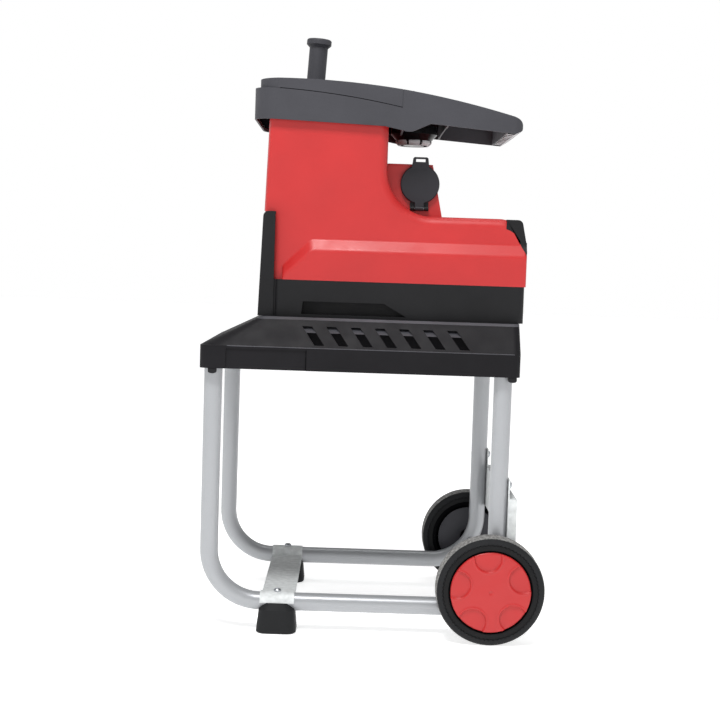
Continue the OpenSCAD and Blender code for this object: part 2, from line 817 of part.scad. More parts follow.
module inlet_flap() {
    tab_top = inlet_z + flap_d / 2 + 11.5;
    color("#444349") difference() {
        union() {
            along_y(inlet_x, flap_y - flap_t, inlet_z) rotate_extrude() polygon([
                [0, 0.4], [flap_d * 0.3, 0.6], [flap_d / 2 - 1.5, 1.4], [flap_d / 2, 3],
                [flap_d / 2, flap_t], [0, flap_t]]);
            side_slab(flap_y - flap_t + 1, flap_y) translate([inlet_x, 0]) polygon([
                [-14, inlet_z + 24], [14, inlet_z + 24], [12, tab_top - 2], [10, tab_top], [-10, tab_top],
                [-12, tab_top - 2]]);
            translate([inlet_x - knuckle_w / 2, flap_y - flap_t + 0.5, hinge_z])
                cube([knuckle_w, flap_t - 0.5, 14]);
            along_x(inlet_x - knuckle_w / 2, hinge_y, hinge_z) cylinder(r = hinge_r, h = knuckle_w);
        }
        side_slab(flap_y - 2 * flap_t, flap_y + cut)
            translate([inlet_x - 7.5, tab_top - 7.5]) square([15, 4.5]);
        along_x(inlet_x - hinge_w, hinge_y, hinge_z) cylinder(r = hinge_pin_r + run_fit, h = 2 * hinge_w);
    }
}

module flap_hinge_pin() {
    color(steel) along_x(inlet_x - hinge_w / 2, hinge_y, hinge_z) cylinder(r = hinge_pin_r, h = hinge_w);
}

// Hopper: side outlines cut by plan outlines

hopper_front_x = column_front_x - hopper_nose;
arm_end_x = column_rear_x + arm_reach;
crest_z = column_top + hopper_h;
crest_x = column_front_x + 35;
seam_front_z = column_top + 41.5;
funnel_rear_x = column_rear_x + 20;
band_front_z = column_top - 6;
plate_z = column_top;
hopper_t = 3;
funnel_front_x = hopper_front_x + 8;
dip_x = column_rear_x + 31;
dip_z = column_top - 20;
arm_low_z = column_top - 6.5;
grip_l = 26;
hand_hole_l = 92;
hand_hole_w = 190;
rest_z = column_top + 35;

function hopper_top(x) = crest_z - 47 * pow((x - crest_x) / 353, 2);
function seam(x) = seam_front_z - 25 * pow((x - hopper_front_x + 15) / 245, 2);
function band_low(x) = band_front_z - 0.033 * (x - hopper_front_x);
function arm_low(x) = arm_low_z - 0.078 * (x - dip_x - 34);
function spread(x0, x1, steps) = [for (i = [0:steps]) x0 + (x1 - x0) * i / steps];

module hopper_plan(inset, front_x = hopper_front_x) {
    half = hopper_w / 2 - inset;
    end_half = arm_w / 2 - inset;
    nose_r = 36;
    r = nose_r - inset;
    end_r = 16 - inset;
    end_x = arm_end_x - inset;
    polygon(concat(
        arc(end_x - end_r, end_half - end_r, end_r, end_r, 0, 85, 5), [[funnel_rear_x, half]],
        arc(front_x + nose_r, half - r, r, r, 90, 180, 8),
        arc(front_x + nose_r, r - half, r, r, 180, 270, 8),
        [[funnel_rear_x, -half]], arc(end_x - end_r, end_r - end_half, end_r, end_r, 275, 360, 5)));
}

module arm_outline() {
    tip_r = 12;
    tip_z = hopper_top(arm_end_x) - tip_r + 1;
    polygon(concat(
        [[hopper_front_x, band_low(hopper_front_x)], [dip_x - 38, band_low(dip_x - 38)]],
        arc(dip_x, dip_z + 10, 16, 10, 235, 315, 4),
        [[dip_x + 34, arm_low(dip_x + 34)], [arm_end_x - tip_r, arm_low(arm_end_x - tip_r)]],
        arc(arm_end_x - tip_r, tip_z, tip_r, tip_r, 330, 450, 5),
        [for (x = spread(arm_end_x - tip_r - 6, funnel_rear_x, 12)) [x, hopper_top(x)]],
        [for (x = spread(funnel_rear_x, hopper_front_x, 12)) [x, seam(x)]]));
}

module hopper_outer() {
    intersection() {
        side_slab(-hopper_w, hopper_w) arm_outline();
        translate([0, 0, dip_z - 20]) linear_extrude(hopper_h + 60) hopper_plan(0);
    }
}

module hopper_hollow() {
    low = dip_z - 20;
    intersection() {
        side_slab(-hopper_w, hopper_w) {
            polygon([[hopper_front_x, low], [funnel_rear_x, low], [funnel_rear_x, crest_z + 20],
                [hopper_front_x, crest_z + 20]]);
            polygon(concat(
                [[funnel_rear_x + hopper_t, low], [arm_end_x, low]],
                [for (x = spread(arm_end_x, funnel_rear_x + hopper_t, 12)) [x, hopper_top(x) - hopper_t]]));
        }
        translate([0, 0, low - cut]) linear_extrude(hopper_h + 100) hopper_plan(hopper_t);
    }
}

// Inward lip along the seam, up to the funnel that stands inside it
module seam_lip() {
    difference() {
        intersection() {
            hopper_outer();
            side_slab(-hopper_w, hopper_w) polygon(concat(
                [for (x = spread(hopper_front_x, funnel_rear_x, 12)) [x, seam(x) - hopper_t]],
                [for (x = spread(funnel_rear_x, hopper_front_x, 12)) [x, seam(x)]]));
        }
        translate([0, 0, column_top]) linear_extrude(hopper_h + 20) hopper_plan(hopper_t, funnel_front_x);
    }
}

module hopper_base() {
    hole_x1 = arm_end_x - grip_l;
    color(grey_plastic) difference() {
        union() {
            difference() {
                hopper_outer();
                hopper_hollow();
            }
            seam_lip();
            translate([0, 0, plate_z]) linear_extrude(hopper_t) intersection() {
                hopper_plan(1);
                translate([hopper_front_x, -hopper_w / 2])
                    square([funnel_rear_x + 1 - hopper_front_x, hopper_w]);
            }
            intersection() {
                hopper_outer();
                union() {
                    for (x = [hole_x1 - 1, hole_x1 - hand_hole_l - 2])
                        translate([x, -hopper_w / 2, dip_z]) cube([hopper_t, hopper_w, hopper_h + 20]);
                    for (k = [-4:4]) translate([hole_x1, k * 24 - 1, dip_z])
                        cube([grip_l, 2, hopper_h + 20]);
                }
            }
        }
        translate([0, 0, column_top - 60]) linear_extrude(hopper_h + 100)
            rounded_rect(hole_x1 - hand_hole_l, hole_x1, hand_hole_w / 2, 14);
        translate([feed_x - feed_l / 2, -feed_w / 2, plate_z - cut]) cube([feed_l, feed_w, hopper_t + 2]);
        translate([pod_x, 0, pod_low - cut]) cylinder(r = pod_r + slide_gap, h = plate_z - pod_low + cut);
        translate([pod_x, 0, plate_z]) cylinder(r = dial_r + 0.5, h = hopper_h + 20);
        translate([pod_x, 0, plate_z - cut]) cylinder(r = neck_r + 0.2, h = hopper_t + 2);
    }
}

module funnel_block(inset, low) {
    rear = funnel_rear_x - slide_gap - inset;
    intersection() {
        side_slab(-hopper_w, hopper_w) polygon(concat(
            [[hopper_front_x, low], [rear, low]],
            [for (x = spread(rear, hopper_front_x, 12)) [x, hopper_top(x) - inset]]));
        translate([0, 0, low - cut]) linear_extrude(hopper_h + 20)
            hopper_plan(hopper_t + 0.2 + inset, funnel_front_x);
    }
}

module funnel_brim() {
    rear = funnel_rear_x - slide_gap;
    intersection() {
        side_slab(-hopper_w, hopper_w) polygon(concat(
            [for (x = spread(hopper_front_x, rear, 12)) [x, seam(x) + slide_gap]],
            [for (x = spread(rear, hopper_front_x, 12)) [x, hopper_top(x)]]));
        translate([0, 0, column_top]) linear_extrude(hopper_h + 20) hopper_plan(0, funnel_front_x);
    }
}

module feed_box(margin, z0, z1) {
    translate([feed_x - feed_l / 2 - margin, -feed_w / 2 - margin, z0])
        cube([feed_l + 2 * margin, feed_w + 2 * margin, z1 - z0]);
}

module hopper_funnel() {
    low = plate_z + hopper_t;
    rest = 6;
    color(grey_plastic) difference() {
        union() {
            difference() {
                union() {
                    funnel_block(0, low);
                    funnel_brim();
                }
                funnel_block(hopper_t, low - cut);
            }
            intersection() {
                funnel_block(0, low);
                union() {
                    feed_box(chute_t, low, rest_z);
                    feed_box(rest + chute_t, rest_z - chute_t, crest_z + 10);
                }
            }
        }
        feed_box(0, low - cut, crest_z + 10);
        feed_box(rest, rest_z, crest_z + 10);
    }
}

// Rotary selector in a pod under the arm

pod_x = column_rear_x + 44;
pod_r = pod_d / 2;
neck_r = 19;
dial_r = 15;
pod_low = column_top - 31;

module selector_pod() {
    notches = 8;
    ring_h = 8;
    ring_r = pod_r - 9;
    cone_h = 18;
    color(black_plastic) difference() {
        union() {
            translate([pod_x, 0, pod_low]) rotate_extrude() polygon([
                [0, 0], [ring_r - 4, 0], [ring_r, 4], [ring_r, ring_h], [pod_r, cone_h],
                [pod_r, plate_z - pod_low], [0, plate_z - pod_low]]);
            intersection() {
                translate([pod_x, 0, plate_z - cut]) cylinder(r = neck_r, h = hopper_h + 20);
                side_slab(-hopper_w, hopper_w) polygon(concat(
                    [[funnel_rear_x + hopper_t, dip_z], [arm_end_x, dip_z]],
                    [for (x = spread(arm_end_x, funnel_rear_x + hopper_t, 12))
                        [x, hopper_top(x) - hopper_t - 0.1]]));
            }
        }
        for (k = [0:notches - 1]) translate([pod_x, 0, pod_low - cut]) rotate((k + 0.5) * 360 / notches)
            translate([ring_r - 2, -3, 0]) cube([8, 6, ring_h - 2]);
        translate([pod_x, 0, pod_low - cut]) difference() {
            cylinder(r = ring_r - 7, h = 2.5);
            cylinder(r = ring_r - 12, h = 2.5);
        }
        translate([pod_x, 0, plate_z + 4]) cylinder(r = dial_r + 0.5, h = hopper_h);
    }
}

module selector_knob() {
    dial_z = hopper_top(pod_x);
    grip_z = 16;
    color("#37373b") translate([pod_x, 0, 0]) {
        translate([0, 0, plate_z + 4.5]) cylinder(r = dial_r, h = dial_z - plate_z - 4.5);
        intersection() {
            translate([0, 0, dial_z - 1]) cylinder(r = dial_r, h = grip_z + 2);
            translate([0, 0, dial_z]) side_slab(-dial_r, dial_r)
                polygon([[-6, -1], [13, -1], [13, 2], [-3, grip_z], [-5, grip_z - 1]]);
        }
    }
}

// Pusher in the feed opening

module pusher() {
    flange = 5.5;
    plate = 5;
    skirt = 90;
    r = pusher_d / 2;
    knob_r = r * 1.34;
    color(grey_plastic) {
        feed_box(flange, rest_z, rest_z + plate);
        difference() {
            feed_box(-3, rest_z - skirt, rest_z + cut);
            feed_box(-6, rest_z - skirt - cut, rest_z - 6);
        }
        translate([feed_x, 0, rest_z + plate - 2]) rotate([0, pusher_lean, 0]) rotate_extrude()
            polygon(concat(
                [[0, 0], [r + 6, 0], [r + 2, 4], [r, 10], [r, pusher_h - 14], [knob_r, pusher_h - 9]],
                arc(knob_r - 3, pusher_h - 3, 3, 3, 0, 90, 4), [[0, pusher_h]]));
    }
}

// Feed chute and cutting chamber

chamber_wall = 12;
chamber_gap = 2;
chamber_l = drum_l + 2 * chamber_gap + 2 * chamber_wall;
chamber_x0 = feed_x - chamber_l / 2;
chamber_x1 = feed_x + chamber_l / 2;
chamber_y0 = -feed_w / 2 - 2;
chamber_y1 = feed_w / 2 + 2;
chamber_side = 6;
chamber_low = tray_top + shell_t;
chamber_top = base_top + 79;
adjust_z = drive_z + 5;
plate_y = drive_y + drum_d / 2 + 2.5;
plate_w = 16;
screw_d = 10;
ledge_z = drive_z - 20;
bearing_r = drum_shaft_d / 2 + 11;

module feed_chute() {
    color(black_plastic) difference() {
        union() {
            feed_box(chute_t, chamber_top, column_top);
            feed_box(chute_t + 3, column_top - chute_t, column_top);
            feed_box(chute_t + 2, chamber_top, chamber_top + chute_t);
        }
        feed_box(0, chamber_top - cut, column_top + cut);
    }
}

module cutting_chamber() {
    inner_w = chamber_y1 - chamber_y0 - 2 * chamber_side;
    color(cast) difference() {
        translate([chamber_x0, chamber_y0, chamber_low])
            cube([chamber_l, chamber_y1 - chamber_y0, chamber_top - chamber_low]);
        difference() {
            translate([chamber_x0 + chamber_wall, chamber_y0 + chamber_side, chamber_low - cut])
                cube([chamber_l - 2 * chamber_wall, inner_w, chamber_top]);
            translate([chamber_x0, plate_y + 3, ledge_z - 6])
                cube([chamber_l, chamber_y1 - plate_y, 6 - 0.1]);
            difference() {
                translate([chamber_x0, chamber_y0, drive_z - 52])
                    cube([chamber_l, drive_y - chamber_y0, 72]);
                along_x(chamber_x0 - cut, drive_y, drive_z) cylinder(d = drum_d + 5, h = chamber_l + 2);
            }
        }
        along_x(chamber_x0 - cut, drive_y, drive_z) cylinder(r = bearing_r + 0.02, h = chamber_l + 2);
        along_y(feed_x, 0, adjust_z) cylinder(d = screw_d + 2 * run_fit, h = chamber_y1 + cut);
    }
}

module drum_row(turn) {
    tip = drum_d / 2;
    pitch = 360 / drum_teeth;
    tooth = [[tip, 0], [tip - 2.5, 0.28], [tip - 14, 0.62], [tip - 14, 0.98]];
    rotate(turn) polygon([for (k = [0:drum_teeth - 1], q = tooth)
        [q[0] * cos((k + q[1]) * pitch), q[0] * sin((k + q[1]) * pitch)]]);
}

module cutting_drum() {
    row_l = drum_l / drum_rows;
    color(steel) difference() {
        union() {
            along_x(feed_x - drum_l / 2, drive_y, drive_z) cylinder(r = drum_d / 2 - 13, h = drum_l);
            for (k = [0:drum_rows - 1]) along_x(feed_x - drum_l / 2 + k * row_l, drive_y, drive_z)
                linear_extrude(row_l) drum_row(k * 360 / drum_teeth / drum_rows);
        }
        along_x(feed_x - drum_l, drive_y, drive_z) cylinder(r = drum_shaft_d / 2 + 0.02, h = 2 * drum_l);
    }
}

module drum_bearings() {
    ends = [chamber_x0, chamber_x1 - chamber_wall];
    color(steel) for (x = ends) along_x(x, drive_y, drive_z) difference() {
        cylinder(r = bearing_r, h = chamber_wall);
        translate([0, 0, -cut]) cylinder(r = drum_shaft_d / 2 + run_fit, h = chamber_wall + 2);
        for (z = [-cut, chamber_wall - 1.5]) translate([0, 0, z]) difference() {
            cylinder(r = bearing_r - 3, h = cut + 1.5);
            cylinder(r = drum_shaft_d / 2 + 3, h = cut + 1.5);
        }
    }
}

module drum_shaft() {
    color(steel) along_x(chamber_x0, drive_y, drive_z)
        cylinder(d = drum_shaft_d, h = gear_x + stage_x[2] + stage_w[2] + 1 - chamber_x0);
}

module counter_plate() {
    gap = 2;
    color(cast) difference() {
        translate([feed_x - drum_l / 2 + gap, plate_y, ledge_z]) cube([drum_l - 2 * gap, plate_w, 50]);
        for (k = [-4:4]) translate([feed_x + k * 8, plate_y - 3, ledge_z - cut]) cylinder(r = 4, h = 60);
        along_y(feed_x, plate_y + 6, adjust_z) cylinder(d = screw_d + 0.6, h = plate_w);
    }
}

module adjusting_screw() {
    color(steel) along_y(feed_x, 0, adjust_z) {
        translate([0, 0, plate_y + 10]) cylinder(d = screw_d, h = half_base + 8 - plate_y - 10);
        translate([0, 0, chamber_y1 + 0.2]) cylinder(d = screw_d + 8, h = 4);
    }
}

module adjusting_knob() {
    lobes = 8;
    knob_r = 22;
    color(black_plastic) along_y(feed_x, half_base + 0.5, adjust_z) difference() {
        union() {
            cylinder(r = knob_r, h = 16);
            translate([0, 0, 16]) cylinder(r1 = knob_r, r2 = knob_r - 3, h = 3);
        }
        for (k = [0:lobes - 1]) rotate(k * 360 / lobes) translate([knob_r + 3, 0, -cut])
            cylinder(r = 6, h = 24);
        translate([0, 0, -cut]) cylinder(d = screw_d + 0.04, h = cut + 8);
    }
}

// Gears on shafts along X, with the drum on the motor's axis

pressure_angle = 25;
tooth_play = 0.25;
pinion_pitch_r = gear_module * pinion_teeth / 2;
wheel_pitch_r = gear_module * wheel_teeth / 2;
centre_d = pinion_pitch_r + wheel_pitch_r;
gear_shaft_d = 10;
neck_l = 41;
case_wall = 6;
case_r = wheel_pitch_r + gear_module + 6;
gear_x = chamber_x1 + neck_l;
stage_x = [40, 27, 8];
stage_w = [8, 11, 17];
case_l = 56;
cover_t = 6;
gear_foot_z = drive_z - centre_d / 2 - case_r;
motor_shaft_r = 6;

// Shaft centres across the drive: the motor and the drum, the first and the second double gear
first_y = drive_y + centre_d * cos(30);
first_z = drive_z - centre_d * sin(30);
second_y = first_y;
second_z = drive_z + centre_d * sin(30);

function involute(a) = tan(a) * 180 / PI - a;

// Half the angle that a tooth covers at radius r
function tooth_half(n, r) =
    let (pitch_r = gear_module * n / 2, base_r = pitch_r * cos(pressure_angle),
        a = r > base_r ? acos(base_r / r) : 0)
    90 / n - tooth_play / pitch_r * 90 / PI + involute(pressure_angle) - involute(a);

function gear_points(n) =
    let (pitch_r = gear_module * n / 2, base_r = pitch_r * cos(pressure_angle),
        root = pitch_r - 1.25 * gear_module, start = max(base_r, root + 0.05),
        tip = pitch_r + 0.9 * gear_module,
        rise = [root, start, (2 * start + tip) / 3, (start + 2 * tip) / 3, tip], steps = len(rise) - 1)
    [for (k = [0:n - 1], i = [0:2 * steps + 1])
        let (r = rise[i <= steps ? i : 2 * steps + 1 - i],
            a = 360 * k / n + (i <= steps ? -1 : 1) * tooth_half(n, r))
        [r * cos(a), r * sin(a)]];

// Phase that sets a gap of the next gear against the teeth of a gear turned by a, along direction d
function mesh_turn(n, a, d, next) =
    let (p = (d - a) * n / 360, part = p - floor(p)) d + 180 + (part + 0.5) * 360 / next;

motor_turn = 0;
first_turn = mesh_turn(pinion_teeth, motor_turn, -30, wheel_teeth);
second_turn = mesh_turn(pinion_teeth, first_turn, 90, wheel_teeth);
drum_turn = mesh_turn(pinion_teeth, second_turn, 210, wheel_teeth);

module gear_disc(n, turn, stage) {
    translate([0, 0, stage_x[stage]]) rotate(turn) linear_extrude(stage_w[stage]) polygon(gear_points(n));
}

module double_gear(turn, stage) {
    end = case_l - cover_t + 3;
    union() {
        gear_disc(wheel_teeth, turn, stage);
        gear_disc(pinion_teeth, turn, stage + 1);
        translate([0, 0, case_wall - 4]) cylinder(d = gear_shaft_d, h = end - case_wall + 4);
    }
}

module first_gear() { color(steel) along_x(gear_x, first_y, first_z) double_gear(first_turn, 0); }

module second_gear() { color(steel) along_x(gear_x, second_y, second_z) double_gear(second_turn, 1); }

module drum_gear() {
    color(steel) along_x(gear_x, drive_y, drive_z) difference() {
        gear_disc(wheel_teeth, drum_turn, 2);
        cylinder(r = drum_shaft_d / 2 + 0.02, h = case_l);
    }
}

module case_outline(r) {
    for (p = [[drive_y, drive_z], [first_y, first_z], [second_y, second_z]]) translate(p) circle(r);
}

module shaft_bores(x) {
    for (p = [[first_y, first_z], [second_y, second_z]]) along_x(gear_x + x, p[0], p[1])
        cylinder(r = gear_shaft_d / 2 + run_fit, h = 6);
}

module gear_case() {
    color(cast) difference() {
        union() {
            along_x(gear_x, 0, 0) linear_extrude(case_l - cover_t) case_outline(case_r);
            along_x(chamber_x1, drive_y, drive_z) cylinder(r = bearing_r + 6, h = neck_l + 1);
        }
        along_x(gear_x + case_wall, 0, 0) linear_extrude(case_l) case_outline(case_r - 5);
        along_x(chamber_x1 - cut, drive_y, drive_z)
            cylinder(r = drum_shaft_d / 2 + 2, h = neck_l + case_wall + 2);
        shaft_bores(1.5);
    }
}

module gear_case_cover() {
    x0 = gear_x + case_l - cover_t;
    color(cast) difference() {
        union() {
            along_x(x0, 0, 0) linear_extrude(cover_t) case_outline(case_r);
            along_x(x0 + cover_t - cut, drive_y, drive_z) cylinder(d = stator_d, h = motor_gap + cut);
        }
        along_x(x0 + cover_t + 2, drive_y, drive_z) cylinder(d = stator_d - 8, h = motor_gap + cut);
        along_x(x0 - cut, drive_y, drive_z) cylinder(r = motor_bearing_r + 0.02, h = cover_t + 10);
        shaft_bores(case_l - cover_t - 2);
    }
}

// Motor

motor_gap = 14;
motor_bearing_r = 16;
motor_bearing_w = 8;
stator_x = gear_x + case_l + motor_gap;
rotor_r = 29.5;
shield_x = stator_x + stator_l;
shield_t = 6;
shaft_end_x = shield_x + motor_gap + shield_t + 22;

module motor_stator() {
    slots = 24;
    color(steel) along_x(stator_x, drive_y, drive_z) difference() {
        cylinder(d = stator_d, h = stator_l);
        translate([0, 0, -cut]) cylinder(r = rotor_r + 0.5, h = stator_l + 2);
        for (k = [0:slots - 1]) rotate(k * 360 / slots) translate([rotor_r + 3, -1.5, -cut])
            cube([12, 3, stator_l + 2]);
    }
}

module motor_windings() {
    color("#b5713a") for (x = [stator_x - 12, stator_x + stator_l]) along_x(x, drive_y, drive_z)
        rotate_extrude() translate([rotor_r + 4, 0]) square([13, 12]);
}

module motor_rotor() {
    shaft_x0 = gear_x + stage_x[0] - 1;
    color(steel) union() {
        along_x(shaft_x0, drive_y, drive_z) cylinder(r = motor_shaft_r, h = shaft_end_x - shaft_x0);
        along_x(gear_x, drive_y, drive_z) gear_disc(pinion_teeth, motor_turn, 0);
        along_x(stator_x, drive_y, drive_z) cylinder(r = rotor_r, h = stator_l);
    }
}

module motor_bearings() {
    color(steel) for (x = [gear_x + case_l - cover_t + 2.5, shield_x + motor_gap - 2])
        along_x(x, drive_y, drive_z) difference() {
            cylinder(r = motor_bearing_r, h = motor_bearing_w);
            translate([0, 0, -cut]) cylinder(r = motor_shaft_r + run_fit, h = motor_bearing_w + 2);
        }
}

module motor_end_shield() {
    color(cast) difference() {
        along_x(shield_x, drive_y, drive_z) cylinder(d = stator_d, h = motor_gap + shield_t);
        along_x(shield_x - cut, drive_y, drive_z) cylinder(d = stator_d - 8, h = motor_gap + cut);
        along_x(shield_x, drive_y, drive_z)
            cylinder(r = motor_bearing_r + 0.02, h = motor_gap + shield_t + cut);
        for (k = [0:5]) along_x(shield_x + motor_gap - cut, drive_y, drive_z) rotate(k * 60)
            translate([36, 0, 0]) cylinder(r = 8, h = shield_t + 2);
    }
}

module motor_fan() {
    blades = 9;
    fan_r = stator_d / 2 - 6;
    color(black_plastic) along_x(shield_x + motor_gap + shield_t + 5, drive_y, drive_z) difference() {
        union() {
            cylinder(r = fan_r, h = 2.5);
            cylinder(r = 13, h = 14);
            for (k = [0:blades - 1]) rotate(k * 360 / blades) translate([12, -1, 1])
                cube([fan_r - 13, 2, 13]);
        }
        translate([0, 0, -cut]) cylinder(r = motor_shaft_r + 0.02, h = 20);
    }
}

module run_capacitor() {
    r = 19;
    color("#d9d9d6") along_x(stator_x, half_base - shell_t - 28 - r, tray_top + shell_t + r) union() {
        cylinder(r = r, h = 86);
        translate([0, 0, 86]) cylinder(r = r * 0.6, h = 6);
    }
}

left_frame_tube();
right_frame_tube();
front_cross_plate();
rear_cross_plate();
left_foot();
right_foot();
frame_bolts();
wheel_axle();
axle_push_nuts();
left_wheel_rim();
right_wheel_rim();
left_tyre();
right_tyre();
left_wheel_cap();
right_wheel_cap();
base_tray();
bag_hooks();
base_housing();
tray_screws();
front_cover();
left_body_shell();
right_body_shell();
rear_vent_cap();
switch_box();
switch_box_lid();
switch_plate();
switch_block();
start_button();
stop_button();
reset_button();
inlet_socket();
inlet_pins();
inlet_flap();
flap_hinge_pin();
hopper_base();
hopper_funnel();
selector_pod();
selector_knob();
pusher();
feed_chute();
cutting_chamber();
cutting_drum();
drum_shaft();
drum_bearings();
drum_gear();
counter_plate();
adjusting_screw();
adjusting_knob();
gear_case();
gear_case_cover();
first_gear();
second_gear();
motor_stator();
motor_windings();
motor_rotor();
motor_bearings();
motor_fan();
motor_end_shield();
run_capacitor();
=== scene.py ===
"""Garden shredder on a wheeled stand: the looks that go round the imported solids."""

import math

import bmesh
import bpy
import numpy as np
from mathutils import Matrix, Vector


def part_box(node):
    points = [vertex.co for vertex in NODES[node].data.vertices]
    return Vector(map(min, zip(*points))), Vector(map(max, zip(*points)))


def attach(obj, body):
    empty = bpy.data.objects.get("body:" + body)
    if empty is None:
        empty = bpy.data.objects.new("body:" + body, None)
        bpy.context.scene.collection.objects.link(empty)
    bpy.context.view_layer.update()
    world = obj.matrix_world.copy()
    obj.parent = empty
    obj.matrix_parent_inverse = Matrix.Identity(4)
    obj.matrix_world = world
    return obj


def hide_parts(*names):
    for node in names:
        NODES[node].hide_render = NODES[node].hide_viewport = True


bl_info = {
    "name": "Garden shredder looks",
    "version": (1, 0, 0),
    "blender": (4, 5, 0),
    "location": "View3D > Sidebar > Shredder",
    "description": "Skins, finishes and studio of a garden shredder on a wheeled stand",
    "category": "Object",
}

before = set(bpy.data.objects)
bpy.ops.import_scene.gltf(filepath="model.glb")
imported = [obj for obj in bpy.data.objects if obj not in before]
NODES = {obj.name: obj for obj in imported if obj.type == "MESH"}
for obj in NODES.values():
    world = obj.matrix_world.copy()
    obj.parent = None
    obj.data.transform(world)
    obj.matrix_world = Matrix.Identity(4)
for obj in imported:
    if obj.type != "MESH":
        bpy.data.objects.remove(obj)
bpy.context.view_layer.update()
MM = 0.001
HANDS = ((-1, "left"), (1, "right"))

# Places in millimetres that several skins share
HALF_TRAY, SKIRT_TOP = 200, 441
HALF_BODY, BODY_LOW, BODY_REAR = 128, 543, 231.361
BAY_TOP, BAY_CORNER = 648, (42, 53)
COLUMN_FRONT, COLUMN_REAR, COLUMN_TOP = -180.139, 9.861, 797


# Colours and numbers

def linear(r, g, b):
    """A screen colour with parts from 0 to 255, as linear light with alpha."""
    parts = np.array([r, g, b]) / 255.0
    low = parts / 12.92
    high = ((parts + 0.055) / 1.055) ** 2.4
    return (*np.where(parts <= 0.04045, low, high).tolist(), 1.0)


def ease(t):
    """A smooth step: flat at 0 and 1, with 3t^2 - 2t^3 between them."""
    t = np.clip(t, 0.0, 1.0)
    return t * t * (3.0 - 2.0 * t)


def arc(cx, cy, rx, ry, start, end, steps):
    """Points of an elliptic arc about (cx, cy), from the start to the end angle in degrees."""
    a = np.radians(np.linspace(start, end, steps + 1))
    return np.stack([cx + rx * np.cos(a), cy + ry * np.sin(a)], axis=1)


def bend(start, corner, end, steps=8):
    """A quadratic curve from the start to the end, drawn towards the corner."""
    t = np.linspace(0, 1, steps + 1)[:, None]
    return (1 - t) ** 2 * np.array(start) + 2 * t * (1 - t) * np.array(corner) + t**2 * np.array(end)


def circle(count):
    """Angles once round, evenly spaced, without the last one that repeats the first."""
    return np.linspace(0, 2 * np.pi, count, endpoint=False)


def zigzag(a, count):
    """Straight flanks between 0 and a half, that many times round the circle."""
    return np.abs((a * count / (2 * np.pi)) % 1.0 - 0.5)


def rounded(points, radii, steps=6):
    """A closed outline with rounded corners.

    Each corner is cut back by its radius along both sides and bridged by a quadratic curve.
    """
    p = np.asarray(points, float)
    before, after = np.roll(p, 1, 0) - p, np.roll(p, -1, 0) - p
    radii = np.asarray(radii, float)[:, None]
    a = p + before / np.linalg.norm(before, axis=1, keepdims=True) * radii
    b = p + after / np.linalg.norm(after, axis=1, keepdims=True) * radii
    t = np.linspace(0.0, 1.0, steps + 1)[None, :, None]
    curve = (1 - t) ** 2 * a[:, None] + 2 * t * (1 - t) * p[:, None] + t**2 * b[:, None]
    return curve.reshape(-1, 2)


# Meshes

def quads(rows, columns, wrap_rows, wrap_columns):
    """Corner numbers of the faces of a grid of points, closed round on the sides that wrap."""
    i = np.arange(rows if wrap_rows else rows - 1)[:, None]
    j = np.arange(columns if wrap_columns else columns - 1)[None, :]
    ip, jp = (i + 1) % rows, (j + 1) % columns
    corners = [i * columns + j, i * columns + jp, ip * columns + jp, ip * columns + j]
    return np.stack(np.broadcast_arrays(*corners), axis=-1).reshape(-1, 4)


def make_piece(name, shells, body, material, replaced=(), sharp=40.0):
    """One object from closed shells, each a pair of points and faces.

    Doubles are merged and the faces are turned outwards.
    """
    merge, sliver = 0.001 * MM, 0.0001 * MM
    points, faces, start = [], [], 0
    for p, f in shells:
        points.append(np.asarray(p, float).reshape(-1, 3))
        faces.extend((np.asarray(face) + start).tolist() for face in f)
        start += len(points[-1])
    mesh = bpy.data.meshes.new(name)
    mesh.from_pydata(np.concatenate(points).tolist(), [], faces)
    work = bmesh.new()
    work.from_mesh(mesh)
    bmesh.ops.remove_doubles(work, verts=work.verts, dist=merge)
    bmesh.ops.dissolve_degenerate(work, edges=work.edges, dist=sliver)
    bmesh.ops.recalc_face_normals(work, faces=work.faces)
    work.to_mesh(mesh)
    work.free()
    mesh.polygons.foreach_set("use_smooth", np.ones(len(mesh.polygons), bool))
    mesh.set_sharp_from_angle(angle=math.radians(sharp))
    mesh.materials.append(material)
    piece = bpy.data.objects.new(name, mesh)
    bpy.context.scene.collection.objects.link(piece)
    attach(piece, body)
    if replaced:
        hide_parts(*replaced)
    return piece


def loft(rings):
    """A skin through closed rings of equal point counts, shut by flat faces on its first and last ring."""
    rings = np.asarray(rings, float)
    count, n = rings.shape[:2]
    ends = [np.arange(n), np.arange(n) + (count - 1) * n]
    return rings.reshape(-1, 3), list(quads(count, n, False, True)) + ends


def ring_skin(grid):
    """A grid that closes on itself both ways, such as a profile carried round a wheel."""
    rows, columns = grid.shape[:2]
    return grid.reshape(-1, 3), quads(rows, columns, True, True)


def drawn_across(section, places):
    """A closed section in x and z, in millimetres, drawn straight across through the places in y."""
    rings = [np.column_stack([section[:, 0], np.full(len(section), y), section[:, 1]]) for y in places]
    return loft(np.stack(rings) * MM)


def both_sides(x, y, z):
    """Rings on the near side in millimetres, lofted there and, mirrored, on the far side."""
    rings = np.stack(np.broadcast_arrays(x, y, z), axis=-1) * MM
    return [loft(rings), loft(rings * [1, -1, 1])]


def finish_edges(piece, width):
    """Rounds the sharp edges of a piece. Its flat faces keep their normals."""
    sharp = 34.0
    bevel = piece.modifiers.new("edges", "BEVEL")
    bevel.width, bevel.segments = width, 2
    bevel.limit_method, bevel.angle_limit = "ANGLE", math.radians(sharp)
    bevel.use_clamp_overlap = True
    bevel.miter_outer = "MITER_ARC"
    normals = piece.modifiers.new("normals", "WEIGHTED_NORMAL")
    normals.keep_sharp = False


